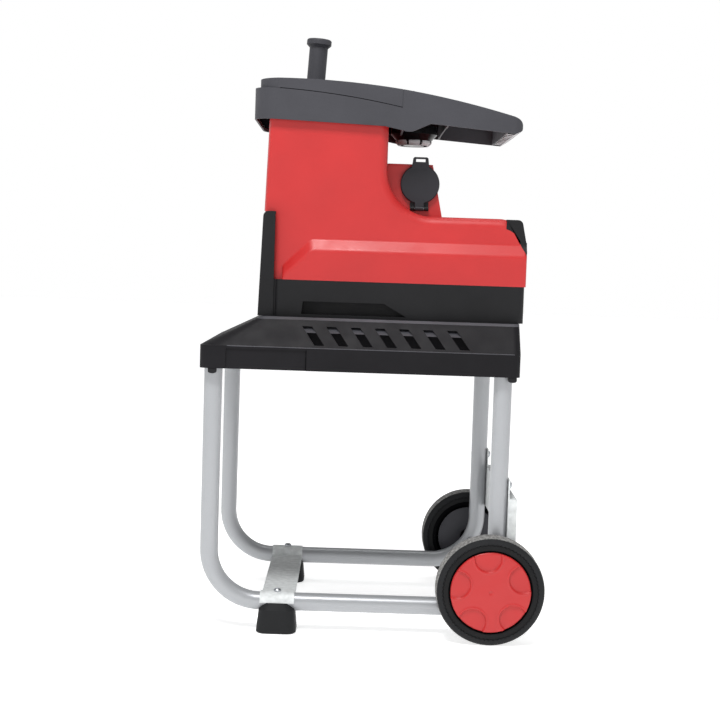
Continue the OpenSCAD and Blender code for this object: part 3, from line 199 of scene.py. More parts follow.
def dress(names, material, edge=0.0, flatten=True):
    """Gives CAD nodes their finish: with an edge width the corners are rounded, without one they stay crisp.

    Flatten joins the facets of flat faces first, which suits nodes without many holes.
    """
    merge, level, split = 0.01 * MM, math.radians(0.6), math.radians(35.0)
    for name in names:
        node = NODES[name]
        node.data.materials.clear()
        node.data.materials.append(material)
        node.data.polygons.foreach_set("use_smooth", np.ones(len(node.data.polygons), bool))
        weld = node.modifiers.new("weld", "WELD")
        weld.merge_threshold = merge
        if edge > 0:
            if flatten:
                flat = node.modifiers.new("flat", "DECIMATE")
                flat.decimate_type, flat.angle_limit = "DISSOLVE", level
            finish_edges(node, edge)
        else:
            crisp = node.modifiers.new("crisp", "EDGE_SPLIT")
            crisp.split_angle = split


# Finishes

def new_finish(name):
    """A material with a bare principled shader: returns it, its nodes, its links and the shader."""
    finish = bpy.data.materials.new(name)
    finish.use_nodes = True
    tree = finish.node_tree
    return finish, tree.nodes, tree.links, tree.nodes["Principled BSDF"]


def noise(nodes, links, where, scale, detail=3.0, stretch=None):
    """Noise on Object coordinates, drawn out along the axes by the stretch. Returns its value socket."""
    source = where
    if stretch:
        mapping = nodes.new("ShaderNodeMapping")
        mapping.inputs["Scale"].default_value = stretch
        links.new(where, mapping.inputs["Vector"])
        source = mapping.outputs["Vector"]
    texture = nodes.new("ShaderNodeTexNoise")
    texture.inputs["Scale"].default_value = scale
    texture.inputs["Detail"].default_value = detail
    links.new(source, texture.inputs["Vector"])
    return texture.outputs["Fac"]


def ramp(nodes, links, value, stops):
    """Colours spread over a value: each stop is a place from 0 to 1 and a colour."""
    node = nodes.new("ShaderNodeValToRGB")
    band = node.color_ramp
    while len(band.elements) < len(stops):
        band.elements.new(0.5)
    for element, (place, colour) in zip(band.elements, stops):
        element.position, element.color = place, colour
    links.new(value, node.inputs["Fac"])
    return node.outputs["Color"]


def spread(nodes, links, value, low, high, start=0.3, end=0.7):
    """A value between start and end, mapped to low and high."""
    node = nodes.new("ShaderNodeMapRange")
    node.inputs["From Min"].default_value, node.inputs["From Max"].default_value = start, end
    node.inputs["To Min"].default_value, node.inputs["To Max"].default_value = low, high
    links.new(value, node.inputs["Value"])
    return node.outputs["Result"]


def mixed(nodes, links, factor, base, colour):
    """A colour socket blended towards a fixed colour by the factor."""
    node = nodes.new("ShaderNodeMix")
    node.data_type = "RGBA"
    links.new(factor, node.inputs["Factor"])
    links.new(base, node.inputs["A"])
    node.inputs["B"].default_value = colour
    return node.outputs["Result"]


def relief(nodes, links, shader, value, strength, depth):
    """A bump of the given depth in metres on the shader's normal."""
    node = nodes.new("ShaderNodeBump")
    node.inputs["Strength"].default_value = strength
    node.inputs["Distance"].default_value = depth
    links.new(value, node.inputs["Height"])
    links.new(node.outputs["Normal"], shader.inputs["Normal"])


def shade(colour, factor):
    """A colour with its light scaled by the factor."""
    return (*[min(1.0, part * factor) for part in colour[:3]], 1.0)


def moulded(name, colour, rough, grain=520.0, depth=0.00012, cloud=0.1, specular=0.5):
    """Moulded plastic: faint clouds and specks in the colour, spark-eroded grain and uneven gloss."""
    finish, nodes, links, shader = new_finish(name)
    where = nodes.new("ShaderNodeTexCoord").outputs["Object"]
    clouds = noise(nodes, links, where, 9.0, 5.0)
    tint = ramp(nodes, links, clouds, [(0.3, shade(colour, 1 - cloud)), (0.7, shade(colour, 1 + cloud))])
    links.new(tint, shader.inputs["Base Color"])
    wear = noise(nodes, links, where, 38.0, 4.0)
    links.new(spread(nodes, links, wear, rough - 0.05, rough + 0.07), shader.inputs["Roughness"])
    shader.inputs["Specular IOR Level"].default_value = specular
    relief(nodes, links, shader, noise(nodes, links, where, grain, 2.0), 0.35, depth)
    return finish


def metal(name, colour, rough, stretch=(1, 1, 1), scale=60.0, depth=0.00004, metallic=1.0, cloud=0.12):
    """Metal with drawn-out streaks in its colour, gloss and relief."""
    finish, nodes, links, shader = new_finish(name)
    where = nodes.new("ShaderNodeTexCoord").outputs["Object"]
    streaks = noise(nodes, links, where, scale, 4.0, stretch)
    dull, bright = shade(colour, 1 - cloud), shade(colour, 1 + 0.6 * cloud)
    tint = ramp(nodes, links, streaks, [(0.3, dull), (0.7, bright)])
    links.new(tint, shader.inputs["Base Color"])
    shader.inputs["Metallic"].default_value = metallic
    wear = noise(nodes, links, where, 22.0, 5.0)
    gloss = spread(nodes, links, wear, rough - 0.5 * cloud, rough + 0.8 * cloud)
    links.new(gloss, shader.inputs["Roughness"])
    relief(nodes, links, shader, streaks, 0.25, depth)
    return finish


def tread_rubber(name, colour, rough, axle=None, dust_and_sheen_r=1.0, band_r=0.0):
    """Rubber: dull, with paler dust and a fine pitted relief.

    Round an axle it turns pale in specks beyond a radius, partly dust and partly painted sheen on the tread,
    and darker within the band's.
    """
    finish, nodes, links, shader = new_finish(name)
    where = nodes.new("ShaderNodeTexCoord").outputs["Object"]
    dust = noise(nodes, links, where, 26.0, 6.0)
    tint = ramp(nodes, links, dust, [(0.35, shade(colour, 0.8)), (0.62, colour), (0.8, shade(colour, 1.5))])
    if axle is not None:
        flat = nodes.new("ShaderNodeVectorMath")
        flat.operation = "MULTIPLY_ADD"
        links.new(where, flat.inputs[0])
        flat.inputs[1].default_value = (1.0, 0.0, 1.0)
        flat.inputs[2].default_value = (-axle[0], 0.0, -axle[2])
        reach = nodes.new("ShaderNodeVectorMath")
        reach.operation = "LENGTH"
        links.new(flat.outputs["Vector"], reach.inputs[0])
        pale_sheen = nodes.new("ShaderNodeMath")
        pale_sheen.operation = "MULTIPLY"
        # Pale specks on the tread beyond the radius: partly dust, partly painted sheen.
        dust_and_sheen_soft, band_soft, dust_and_sheen_colour = 0.4 * MM, 0.6 * MM, linear(150, 149, 147)
        radius = reach.outputs["Value"]
        links.new(spread(nodes, links, radius, 0.0, 1.0, dust_and_sheen_r - dust_and_sheen_soft, dust_and_sheen_r), pale_sheen.inputs[0])
        specks = noise(nodes, links, where, 240.0, 2.0)
        links.new(spread(nodes, links, specks, 0.45, 0.95, 0.4, 0.6), pale_sheen.inputs[1])
        inner = spread(nodes, links, radius, 1.0, 0.0, band_r - band_soft, band_r + band_soft)
        tint = mixed(nodes, links, inner, tint, shade(colour, 0.4))
        tint = mixed(nodes, links, pale_sheen.outputs["Value"], tint, dust_and_sheen_colour)
    links.new(tint, shader.inputs["Base Color"])
    links.new(spread(nodes, links, dust, rough - 0.08, rough + 0.1), shader.inputs["Roughness"])
    shader.inputs["Specular IOR Level"].default_value = 0.25
    relief(nodes, links, shader, noise(nodes, links, where, 700.0, 3.0), 0.3, 0.00015)
    return finish


def wound_copper(name, colour):
    """Enamelled wire: bands round the drive axis with a fine relief."""
    finish, nodes, links, shader = new_finish(name)
    where = nodes.new("ShaderNodeTexCoord").outputs["Object"]
    wave = nodes.new("ShaderNodeTexWave")
    wave.bands_direction = "X"
    wave.inputs["Scale"].default_value = 260.0
    wave.inputs["Distortion"].default_value = 1.5
    links.new(where, wave.inputs["Vector"])
    tint = ramp(nodes, links, wave.outputs["Fac"], [(0.2, shade(colour, 0.45)), (0.8, shade(colour, 1.1))])
    links.new(tint, shader.inputs["Base Color"])
    shader.inputs["Metallic"].default_value = 0.8
    links.new(spread(nodes, links, noise(nodes, links, where, 40.0), 0.25, 0.45), shader.inputs["Roughness"])
    relief(nodes, links, shader, wave.outputs["Fac"], 0.5, 0.0003)
    return finish


def floor_finish(name):
    """A pale studio floor with the faintest clouds."""
    finish, nodes, links, shader = new_finish(name)
    where = nodes.new("ShaderNodeTexCoord").outputs["Object"]
    clouds = noise(nodes, links, where, 2.0, 3.0)
    tint = ramp(nodes, links, clouds, [(0.3, (0.9, 0.9, 0.9, 1.0)), (0.7, (0.93, 0.93, 0.93, 1.0))])
    links.new(tint, shader.inputs["Base Color"])
    links.new(spread(nodes, links, clouds, 0.5, 0.6), shader.inputs["Roughness"])
    shader.inputs["Emission Color"].default_value = (1.0, 1.0, 1.0, 1.0)
    shader.inputs["Emission Strength"].default_value = 0.62
    return finish


def axle_centre():
    """The middle of the wheel axle."""
    low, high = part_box("wheel_axle")
    return (low + high) / 2


def finish_makers(paint):
    """How each finish is made, by the name that the pieces ask for."""
    red, black, grey, tyre = (tuple(part) for part in (paint.red, paint.black, paint.grey, paint.tyre))
    return {
        "red": lambda: moulded("red_body_plastic", red, rough=0.42, grain=420, depth=0.1 * MM, cloud=0.07),
        "black": lambda: moulded("black_housing_plastic", black, rough=0.5, grain=380, depth=0.18 * MM,
                                 cloud=0.2, specular=0.22),
        "grey": lambda: moulded("grey_hopper_plastic", grey, rough=0.55, grain=340, depth=0.22 * MM,
                                cloud=0.12, specular=0.32),
        "tray": lambda: moulded("tray_plastic", tuple(paint.tray), rough=0.55, grain=320, depth=0.22 * MM,
                                cloud=0.2, specular=0.16),
        "flap": lambda: moulded("flap_plastic", tuple(paint.flap), rough=0.5, grain=420, depth=0.12 * MM,
                                cloud=0.1, specular=0.3),
        # Hopper grey made paler: a painted highlight on the tray's rim and skirt edges.
        "pale_sheen": lambda: moulded("painted_highlight_edge_plastic", shade(grey, 1.2), rough=0.5, grain=240, depth=0.2 * MM,
                                cloud=0.3, specular=0.4),
        # Housing black darkened to 0.45 and without gloss: painted shade on the dark strips and sheets, and
        # the dark colour of inner parts and rims.
        "deep": lambda: moulded("shade_and_inner_black_plastic", shade(black, 0.45), rough=0.7, grain=380,
                                depth=0.18 * MM, cloud=0.2, specular=0.0),
        "gloss": lambda: moulded("glossy_black_plastic", shade(black, 0.6), rough=0.22, grain=200,
                                 depth=0.02 * MM, cloud=0.1, specular=0.18),
        # Pale grey: painted light from below on the selector pod's foot.
        "pale": lambda: moulded("painted_light_ring_plastic", linear(190, 190, 192), rough=0.38, grain=420,
                                depth=0.08 * MM, cloud=0.08),
        # Pale grey: a painted highlight on the lower edges of the grip's webs.
        "rib": lambda: moulded("rib_highlight_plastic", linear(186, 186, 188), rough=0.45, grain=420,
                               depth=0.1 * MM, cloud=0.1),
        "green": lambda: moulded("start_green_plastic", tuple(paint.green), rough=0.35, grain=500,
                                 depth=0.06 * MM, cloud=0.06),
        "stop": lambda: moulded("stop_red_plastic", tuple(paint.stop), rough=0.35, grain=500,
                                depth=0.06 * MM, cloud=0.06),
        "silver": lambda: metal("silver_tube_paint", tuple(paint.silver), rough=0.33, scale=900,
                                depth=0.004 * MM, metallic=0.25, cloud=0.05),
        "galvanised": lambda: metal("galvanised_sheet", linear(214, 217, 217), rough=0.62, scale=110,
                                    depth=0.05 * MM, metallic=0.15, cloud=0.16),
        "zinc": lambda: metal("zinc_steel", linear(176, 180, 184), rough=0.34, scale=120, depth=0.05 * MM),
        "ground": lambda: metal("ground_steel", linear(186, 189, 193), rough=0.26, stretch=(1, 14, 14),
                                scale=90, depth=0.03 * MM),
        "cast": lambda: metal("cast_alloy", linear(184, 186, 188), rough=0.46, scale=420, depth=0.3 * MM),
        "can": lambda: metal("capacitor_can", linear(206, 206, 204), rough=0.3, stretch=(20, 1, 1),
                             scale=60, depth=0.02 * MM),
        "copper": lambda: wound_copper("winding_copper", linear(186, 112, 58)),
        # The tread's pale specks are partly dust and partly painted sheen.
        "tyre": lambda: tread_rubber("tyre_rubber", tyre, rough=0.72, axle=axle_centre(),
                                     dust_and_sheen_r=81.7 * MM, band_r=72.2 * MM),
        "sole": lambda: tread_rubber("foot_rubber", shade(tyre, 0.8), rough=0.66),
    }


FINISHES = {}


def finish_of(key):
    """The finish of that name, made when it is first asked for from the colours in the sidebar."""
    if key not in FINISHES:
        FINISHES[key] = finish_makers(bpy.context.scene.shredder_paint)[key]()
    return FINISHES[key]


# Sizes and colours in the sidebar

def length(name, description, default):
    """A length in metres for the sidebar."""
    return bpy.props.FloatProperty(
        name=name, description=description, default=default, unit="LENGTH", precision=4)


def angle(name, description, degrees):
    """An angle for the sidebar, given in degrees."""
    return bpy.props.FloatProperty(
        name=name, description=description, default=math.radians(degrees), subtype="ANGLE")


def colour(name, description, default):
    """A colour for the sidebar."""
    return bpy.props.FloatVectorProperty(
        name=name, description=description, default=default, size=4, subtype="COLOR")


class ShredderPaint(bpy.types.PropertyGroup):
    """Colours of the finishes."""

    red: colour("Body red", "Body shells, switch box and wheel caps", linear(180, 34, 34))
    black: colour("Housing black", "Base housing, front cover and small covers", linear(23, 23, 25))
    grey: colour("Hopper grey", "Hopper halves and handle arm", linear(60, 60, 65))
    tray: colour("Tray grey", "Slotted tray", linear(22, 21, 24))
    flap: colour("Flap grey", "Inlet flap and selector knob", linear(39, 39, 44))
    silver: colour("Tube silver", "Painted tubes of the stand", linear(164, 166, 169))
    tyre: colour("Tyre black", "Tyres and feet", linear(30, 31, 33))
    green: colour("Start green", "Start button", linear(46, 152, 74))
    stop: colour("Stop red", "Stop button", linear(190, 38, 30))


class ShredderSizes(bpy.types.PropertyGroup):
    """Sizes of the skins that stand for solids."""

    tube_r: length("Tube radius", "Outside radius of the stand tubes", 14 * MM)
    track: length("Half track", "Distance of a side frame from the middle", 175 * MM)
    front_leg: length("Front legs", "Place of the front legs along the machine", -247.639 * MM)
    rear_leg: length("Rear legs", "Place of the rear legs along the machine", 197.361 * MM)
    rail: length("Rail height", "Height of the floor rails", 45 * MM)
    bend: length("Bend radius", "Bend of the tubes to their centre line", 80 * MM)
    leg_top: length("Leg top", "Upper end of the legs in the tray sockets", 436.5 * MM)
    wheel_r: length("Wheel radius", "Radius over the tread", 82.5 * MM)
    wheel_w: length("Wheel width", "Width of a tyre", 42 * MM)
    wheel_in: length("Wheel inner face", "Distance of a wheel's inner face from the middle", 195 * MM)
    cap_r: length("Cap radius", "Radius of the red wheel caps", 61 * MM)


class ShredderView(bpy.types.PropertyGroup):
    """The camera's place and turn."""

    place: bpy.props.FloatVectorProperty(
        name="Place", description="Camera's place", default=(-0.0375, -2.3521, 0.5792),
        size=3, subtype="TRANSLATION", unit="LENGTH")
    yaw: angle("Yaw", "Turn to the right", 0.37)
    pitch: angle("Pitch", "Tilt down", 4.08)
    roll: angle("Roll", "Roll against the clock", 1.9)
    lens: bpy.props.FloatProperty(name="Lens", description="Focal length in millimetres", default=71.12)


# Stand

def bent_tube(side, size):
    """A circle carried along a U: down the front leg, round a bend, along the rail, round a bend and up."""
    leg_rows, bend_rows, sides = 8, 20, 40
    low = size.rail + size.bend
    drop = np.linspace(size.leg_top, low, leg_rows)
    front = np.stack([np.full(leg_rows, size.front_leg), drop], axis=1)
    back = np.stack([np.full(leg_rows, size.rear_leg), drop[::-1]], axis=1)
    first = arc(size.front_leg + size.bend, low, size.bend, size.bend, 180, 270, bend_rows)
    second = arc(size.rear_leg - size.bend, low, size.bend, size.bend, 270, 360, bend_rows)
    path = np.concatenate([front[:-1], first, second, back[1:]])
    along = np.gradient(path, axis=0)
    along /= np.linalg.norm(along, axis=1, keepdims=True)
    across = np.stack([-along[:, 1], along[:, 0]], axis=1)
    a = circle(sides)
    flat = path[:, None, :] + size.tube_r * np.cos(a)[None, :, None] * across[:, None, :]
    y = np.broadcast_to(side * size.track + size.tube_r * np.sin(a)[None, :], flat.shape[:2])
    return loft(np.stack([flat[..., 0], y, flat[..., 1]], axis=-1))


class SHREDDER_OT_stand(bpy.types.Operator):
    """Bent tubes, cross plates, feet and bolts of the stand"""

    bl_idname = "shredder.stand"
    bl_label = "Stand"

    def execute(self, context):
        size = context.scene.shredder_sizes
        for side, hand in HANDS:
            make_piece(hand + "_bent_tube", [bent_tube(side, size)], "machine", finish_of("silver"),
                       (hand + "_frame_tube",))
        dress(["front_cross_plate", "rear_cross_plate"], finish_of("galvanised"), 0.5 * MM)
        dress(["frame_bolts", "wheel_axle", "axle_push_nuts", "tray_screws"], finish_of("zinc"))
        dress(["left_foot", "right_foot"], finish_of("sole"), 1.2 * MM)
        return {"FINISHED"}


# Wheels

def wheel_point(side, size, axle, r, a, w):
    """Radius, angle and width of a wheel as points: w runs outwards from the wheel's inner face."""
    r, a, w = np.broadcast_arrays(r, a, w)
    return np.stack([axle.x + r * np.cos(a), side * (size.wheel_in + w), axle.z + r * np.sin(a)], axis=-1)


def tyre_skin(side, size, axle):
    """A tyre section with a toothed groove round its sidewall, carried round the axle.

    Fine zigzag lines and bars on the shoulders are cut into its tread.
    """
    r, width, inner = size.wheel_r, size.wheel_w, 64.05 * MM
    wall_rows, tread_rows, columns = 26, 44, 640
    wall_w, shoulder_r, shoulder_w, tread_edge = 0.2 * MM, 8 * MM, 7.6 * MM, 9 * MM
    wall = np.linspace(inner, r - shoulder_r - 0.6 * MM, wall_rows)
    half = np.concatenate([
        np.stack([wall, np.full(wall_rows, wall_w)], axis=1),
        arc(r - shoulder_r, shoulder_r, shoulder_r, shoulder_w, 270, 356, 14)])
    crown_w = np.linspace(tread_edge, width - tread_edge, tread_rows)
    crown = np.stack([np.full(tread_rows, r), crown_w], axis=1)
    sweep = np.concatenate([half, crown, half[::-1] * [1, -1] + [0, width]])
    a = circle(columns)[None, :]
    rr, ww = sweep[:, :1], sweep[:, 1:]

    # Cuts in the tread, by the share of the half width from the middle
    line_cut, bar_cut, line_w = 1.3 * MM, 0.7 * MM, 0.06
    across = np.abs(ww - width / 2) / (width / 2)
    wave = zigzag(a, 48)
    outer_line = ease(1.4 - np.abs(across - 0.36 - 0.36 * wave) / line_w)
    inner_line = ease(1.4 - np.abs(across - 0.08 - 0.3 * wave) / line_w)
    bars = ease((across - 0.68) / 0.06) * ease(1 - zigzag(a, 120) / 0.16)
    tread = ease((rr - (r - 7 * MM)) / (3 * MM))
    cut = tread * (line_cut * np.minimum(outer_line + inner_line, 1.0) + bar_cut * bars)

    # Groove, bead step and sunk band of the sidewall
    groove_r = r - 10.3 * MM + 4.4 * MM * (zigzag(a, 72) - 0.25)
    groove = 1.6 * MM * ease(1 - np.abs(rr - groove_r) / (1.3 * MM))
    step = 1.2 * MM * ease((inner + 2.2 * MM - rr) / (1.2 * MM))
    band = 0.6 * MM * ease((r - 10.6 * MM - rr) / (0.8 * MM))
    inwards = np.sign(width / 2 - ww) * np.maximum(np.maximum(groove, step), band)
    return ring_skin(wheel_point(side, size, axle, rr - cut, a, ww + inwards))


def cap_skin(side, size, axle):
    """A domed disc as a height over radius and angle.

    Five round bays with raised lips are let in from its rim, and a dimple at its middle.
    """
    r, rows, columns = size.cap_r, 96, 480
    edge_r, edge_w = 2.6 * MM, 2.2 * MM
    dome_top, dome_fall, dome_limit = 44.3 * MM, 1.3 * MM, 45 * MM
    bay_place, bay_r, bay_depth, bay_wall = 0.86 * r, 20.8 * MM, 2.7 * MM, 1.1 * MM
    lip_r, lip_h, lip_w = bay_r + 1.6 * MM, 0.8 * MM, 1.3 * MM
    dimple_r, dimple_depth, dimple_wall = 3.2 * MM, 1.0 * MM, 1.2 * MM
    a = circle(columns)[None, :]
    rho = np.linspace(0, 1, rows)[:, None] ** 0.85 * (r - edge_r)
    height = dome_top - dome_fall * (rho / r) ** 2 + 0 * a
    for turn in np.radians(96 + 72 * np.arange(5)):
        along = rho * np.cos(a) - bay_place * np.cos(turn)
        up = rho * np.sin(a) - bay_place * np.sin(turn)
        gap = np.hypot(along, up)
        bay = ease((bay_r - gap) / bay_wall)
        lip = np.exp(-((gap - lip_r) / lip_w) ** 2)
        height = height - bay_depth * bay + lip_h * lip
    height = height - dimple_depth * ease((dimple_r - rho) / dimple_wall)
    edge = np.radians(np.linspace(0, 90, 6))[:, None]
    rim_r = r - edge_r + edge_r * np.sin(edge)
    rim_w = height[-1:] - edge_w * (1 - np.cos(edge))
    tail_r = np.array([r, r - 7 * MM, r - 7 * MM, 0])[:, None]
    tail_w = np.array([37.2, 37.2, 38.4, 38.4])[:, None] * MM
    wide = lambda parts: np.concatenate([np.broadcast_to(part, (len(part), columns)) for part in parts])
    radius, width = wide((rho, rim_r, tail_r)), wide((height, rim_w, tail_w))
    grid = wheel_point(side, size, axle, radius, a, np.minimum(width, dome_limit))
    return grid.reshape(-1, 3), quads(*grid.shape[:2], False, True)


def hub_disc(side, size, axle):
    """A thin dished ring on the inner edges of the rim's ribs.

    Its section is a low arc from the hub out towards the rim.
    """
    hub_r, rim_r, face_w, back_w, dish = 14.2 * MM, 53.5 * MM, 5.6 * MM, 5.95 * MM, 1.2 * MM
    a = circle(160)[:, None]
    t = np.linspace(0, 1, 12)[None, :]
    r = np.concatenate([hub_r + (rim_r - hub_r) * t, rim_r - (rim_r - hub_r) * t], axis=1)
    w = np.concatenate([face_w - dish * np.sin(np.pi * t), np.full(t.shape, back_w)], axis=1)
    return ring_skin(wheel_point(side, size, axle, r, a, w))


class SHREDDER_OT_wheels(bpy.types.Operator):
    """Tyres, rims and red caps"""

    bl_idname = "shredder.wheels"
    bl_label = "Wheels"

    def execute(self, context):
        size = context.scene.shredder_sizes
        axle = axle_centre()
        for side, hand in HANDS:
            body = hand + "_wheel"
            make_piece(hand + "_tread_tyre", [tyre_skin(side, size, axle)], body, finish_of("tyre"),
                       (hand + "_tyre",), sharp=50.0)
            make_piece(hand + "_scalloped_cap", [cap_skin(side, size, axle)], body, finish_of("red"),
                       (hand + "_wheel_cap",), sharp=60.0)
            make_piece(hand + "_hub_disc", [hub_disc(side, size, axle)], body, finish_of("grey"))
        dress(["left_wheel_rim", "right_wheel_rim"], finish_of("deep"), 0.5 * MM)
        return {"FINISHED"}


# Tray, base and front cover

def slot_tongues():
    """A ramp for each slot in the tray's sloped sides, in a lighter grey that paints the sheen in the slot's
    upper part.

    It starts flush with the side under the slot's upper end and rises inwards to the slot's top.
    """
    slots, pitch, first_x, low, rise = 7, 37, -113.64, 463.5, 9.3
    slope_in, slope_h, slot_lean, slot_h, slot_top = 32, 41, 20, 28, 473
    t = np.linspace(0, 1, 7)[:, None]
    z = low + rise * t
    lean = slot_lean * (slot_top - z) / slot_h
    wall = -HALF_TRAY + slope_in * (z - SKIRT_TOP) / slope_h
    y = wall + 0.5 + 9 * t**1.3 + np.array([[0.0, 0.0, 1.6, 1.6]])
    shells = []
    for left in first_x + pitch * np.arange(slots):
        x = left + lean + np.array([[0.1, 14.9, 14.9, 0.1]])
        shells += both_sides(x, y, z)
    return shells


def flat_loop(x0, x1, half, radii):
    """A four-sided outline, from its front left corner round by the rear, with its corners rounded."""
    return rounded([[x0, -half], [x1, -half], [x1, half], [x0, half]], radii, 8)


def raised(loop, z):
    """A flat outline at a height."""
    return np.column_stack([loop, np.full(len(loop), z)])


def tray_rim():
    """A thin band over the chamfer round the tray's top: four outlines joined into one closed ring; its paler
    finish paints the highlight along the rim.
    """
    corners, rear, inner_rear = [12] * 4, 221.3, 220.5
    low = raised(flat_loop(-184.8, rear, 168.15, corners), 482.1)
    high = raised(flat_loop(-176.8, rear, 163.15, corners), 486.08)
    inner_high = raised(flat_loop(-176.0, inner_rear, 162.4, corners), 485.6)
    inner_low = raised(flat_loop(-183.9, inner_rear, 167.4, corners), 481.7)
    return ring_skin(np.stack([low, high, inner_high, inner_low], axis=1) * MM)


def skirt_beads():
    """A fine round bead along the upper edge of each side of the tray, straight from front to rear; its paler
    finish paints the highlight on that edge.
    """
    front, rear, bead_r = -226.0, 211.0, 0.75
    a = circle(12)[None, :]
    x = np.linspace(front, rear, 12)[:, None]
    return both_sides(x, 0.5 - HALF_TRAY + bead_r * np.cos(a), SKIRT_TOP - 0.1 + bead_r * np.sin(a))


def skirt_step_shade():
    """A narrow upright dark strip in the step of each side of the skirt, a little wider at its foot: painted
    shade in the step.
    """
    step_x, half_w, low, high = -105.7, 0.55, 406.6, 437.6
    z = np.linspace(low, high, 6)[:, None]
    taper = 1.2 - 0.2 * (z - low) / (high - low)
    x = step_x + half_w * np.array([[-1, 1, 1, -1]]) * taper
    y = -HALF_TRAY + np.array([[-0.1, -0.1, 2.0, 2.0]])
    return both_sides(x, y, z)


class SHREDDER_OT_tray(bpy.types.Operator):
    """Slotted tray and its bag hooks"""

    bl_idname = "shredder.tray"
    bl_label = "Tray"

    def execute(self, context):
        dress(["base_tray"], finish_of("tray"), 0.8 * MM, flatten=False)
        # The tongues' lighter grey paints the sheen in the upper part of the slots.
        make_piece("slot_tongues", slot_tongues(), "machine", finish_of("grey"), sharp=30.0)
        # The rim band and beads take the paler grey as a painted highlight on the tray's top edges.
        make_piece("tray_rim", [tray_rim()] + skirt_beads(), "machine", finish_of("pale_sheen"),
                   sharp=30.0)
        # Dark strips that paint the shade in the skirt's steps.
        make_piece("skirt_step_shade", skirt_step_shade(), "machine", finish_of("deep"), sharp=30.0)
        dress(["bag_hooks"], finish_of("black"), 0.8 * MM)
        return {"FINISHED"}


class SHREDDER_OT_base(bpy.types.Operator):
    """Base housing and front cover"""

    bl_idname = "shredder.base"
    bl_label = "Base and front cover"

    def execute(self, context):
        dress(["base_housing"], finish_of("black"), 1.2 * MM)
        dress(["front_cover"], finish_of("black"), 1.6 * MM)
        return {"FINISHED"}


# Red body

def body_outline(s):
    """Side outline of the red body in x and z.

    The share s of the rounding is taken off its ends, its bay top and its column's rear edge.
    """
    end_cut, top_cut, foot_step, neck_r = 6 * s, 15 * s, 4, 72
    corner_x, corner_z = BAY_CORNER
    front = lambda z: COLUMN_FRONT + (z - BAY_TOP) * math.tan(math.radians(1.7)) + end_cut
    rear, neck, step_z = BODY_REAR - end_cut, neck_r + top_cut, BAY_TOP + 0.3
    return np.concatenate([
        [[front(BODY_LOW) + foot_step, BODY_LOW], [rear, BODY_LOW]],
        arc(BODY_REAR - corner_x, BAY_TOP - corner_z, corner_x - end_cut, corner_z - top_cut, 0, 90, 18),
        arc(COLUMN_REAR + neck_r, BAY_TOP + neck_r, neck, neck, 270, 180, 28),
        [[COLUMN_REAR - top_cut, COLUMN_TOP], [front(COLUMN_TOP), COLUMN_TOP]],
        [[front(BAY_TOP), step_z], [front(BAY_TOP) + foot_step, step_z]],
    ])


def body_skin(side):
    """The side outline carried inwards from the flat wall to the middle.

    Its rounding runs out over a quarter ellipse, and then it goes straight.
    """
    edge_w = 14
    a = np.radians(np.linspace(0, 90, 13))
    flat = np.stack([body_outline(1 - math.sin(t)) for t in a] + [body_outline(0)])
    reach = np.concatenate([HALF_BODY - edge_w * (1 - np.cos(a)), [0.0]])
    y = np.broadcast_to(side * reach[:, None], flat.shape[:2])
    return loft(np.stack([flat[..., 0], y, flat[..., 1]], axis=-1) * MM)


def ledge_skin(side):
    """The raised band along the foot of the body.

    A five-sided outline, which drops and draws in as it comes out along a soft-edged chamfer.
    """
    front, top, slope = -149.139, 607, 43
    chamfer = np.concatenate([
        [[-3.0, -1.0]],
        bend((-2.5, 0), (0, 0), (2.0, 1.4)),
        bend((13.6, 9.6), (17, 12), (21.5, 12)),
    ])
    rings = []
    for drop, out in chamfer:
        inset = 0.55 * max(0.0, out - 8.5)
        x0, x1, z1 = front + inset, BODY_REAR - inset, top - drop
        shoulder, toe = [front + slope + 0.18 * drop, z1], [x0, z1 - slope + 0.2 * inset]
        flat = rounded([[x0, BODY_LOW], [x1, BODY_LOW], [x1, z1], shoulder, toe], [0.5, 0.5, 5.0, 7.0, 5.0])
        y = np.full(len(flat), side * (HALF_BODY + out))
        rings.append(np.column_stack([flat[:, 0], y, flat[:, 1]]) * MM)
    return loft(rings)


def vent_shade_sheet():
    """A thin dark strip along the body's rounded rear corner, drawn straight across behind the vent slots:
    painted shade seen through the slots.
    """
    corner_x, corner_z = BAY_CORNER
    centre = (BODY_REAR - corner_x, BAY_TOP - corner_z)
    outer_off, inner_off, half_w = 0.13, 0.03, 113
    outer = arc(*centre, corner_x + outer_off, corner_z + outer_off, 15, 62, 24)
    inner = arc(*centre, corner_x + inner_off, corner_z + inner_off, 62, 15, 24)
    return drawn_across(np.concatenate([outer, inner]), np.linspace(-half_w, half_w, 5))


def vent_tail(side):
    """The vent cap's tip, laid over the ledge.

    A patch that follows the ledge's chamfer and narrows to a point at the rear.
    """
    top, fall, front_x, rear_x, skin, sunk = 612.0, 20.0, 220.0, 231.1, 0.3, 0.4
    chamfer_z, chamfer_y = [587.0, 590.0, 593.4, 605.0, 609.5], [140.0, 139.9, 137.6, 129.4, 128.0]
    t = np.linspace(0, 1, 11)[:, None]
    z = top - fall * t
    out = np.interp(z, chamfer_z, chamfer_y)
    rear = rear_x - 0.55 * np.maximum(out - HALF_BODY - 8.5, 0.0)
    front = front_x + (rear - front_x - 0.3) * t**1.2
    x = np.concatenate([front, rear, rear, front], axis=1)
    y = side * (out + np.array([[skin, skin, -sunk, -sunk]]))
    return loft(np.stack(np.broadcast_arrays(x, y, z), axis=-1) * MM)


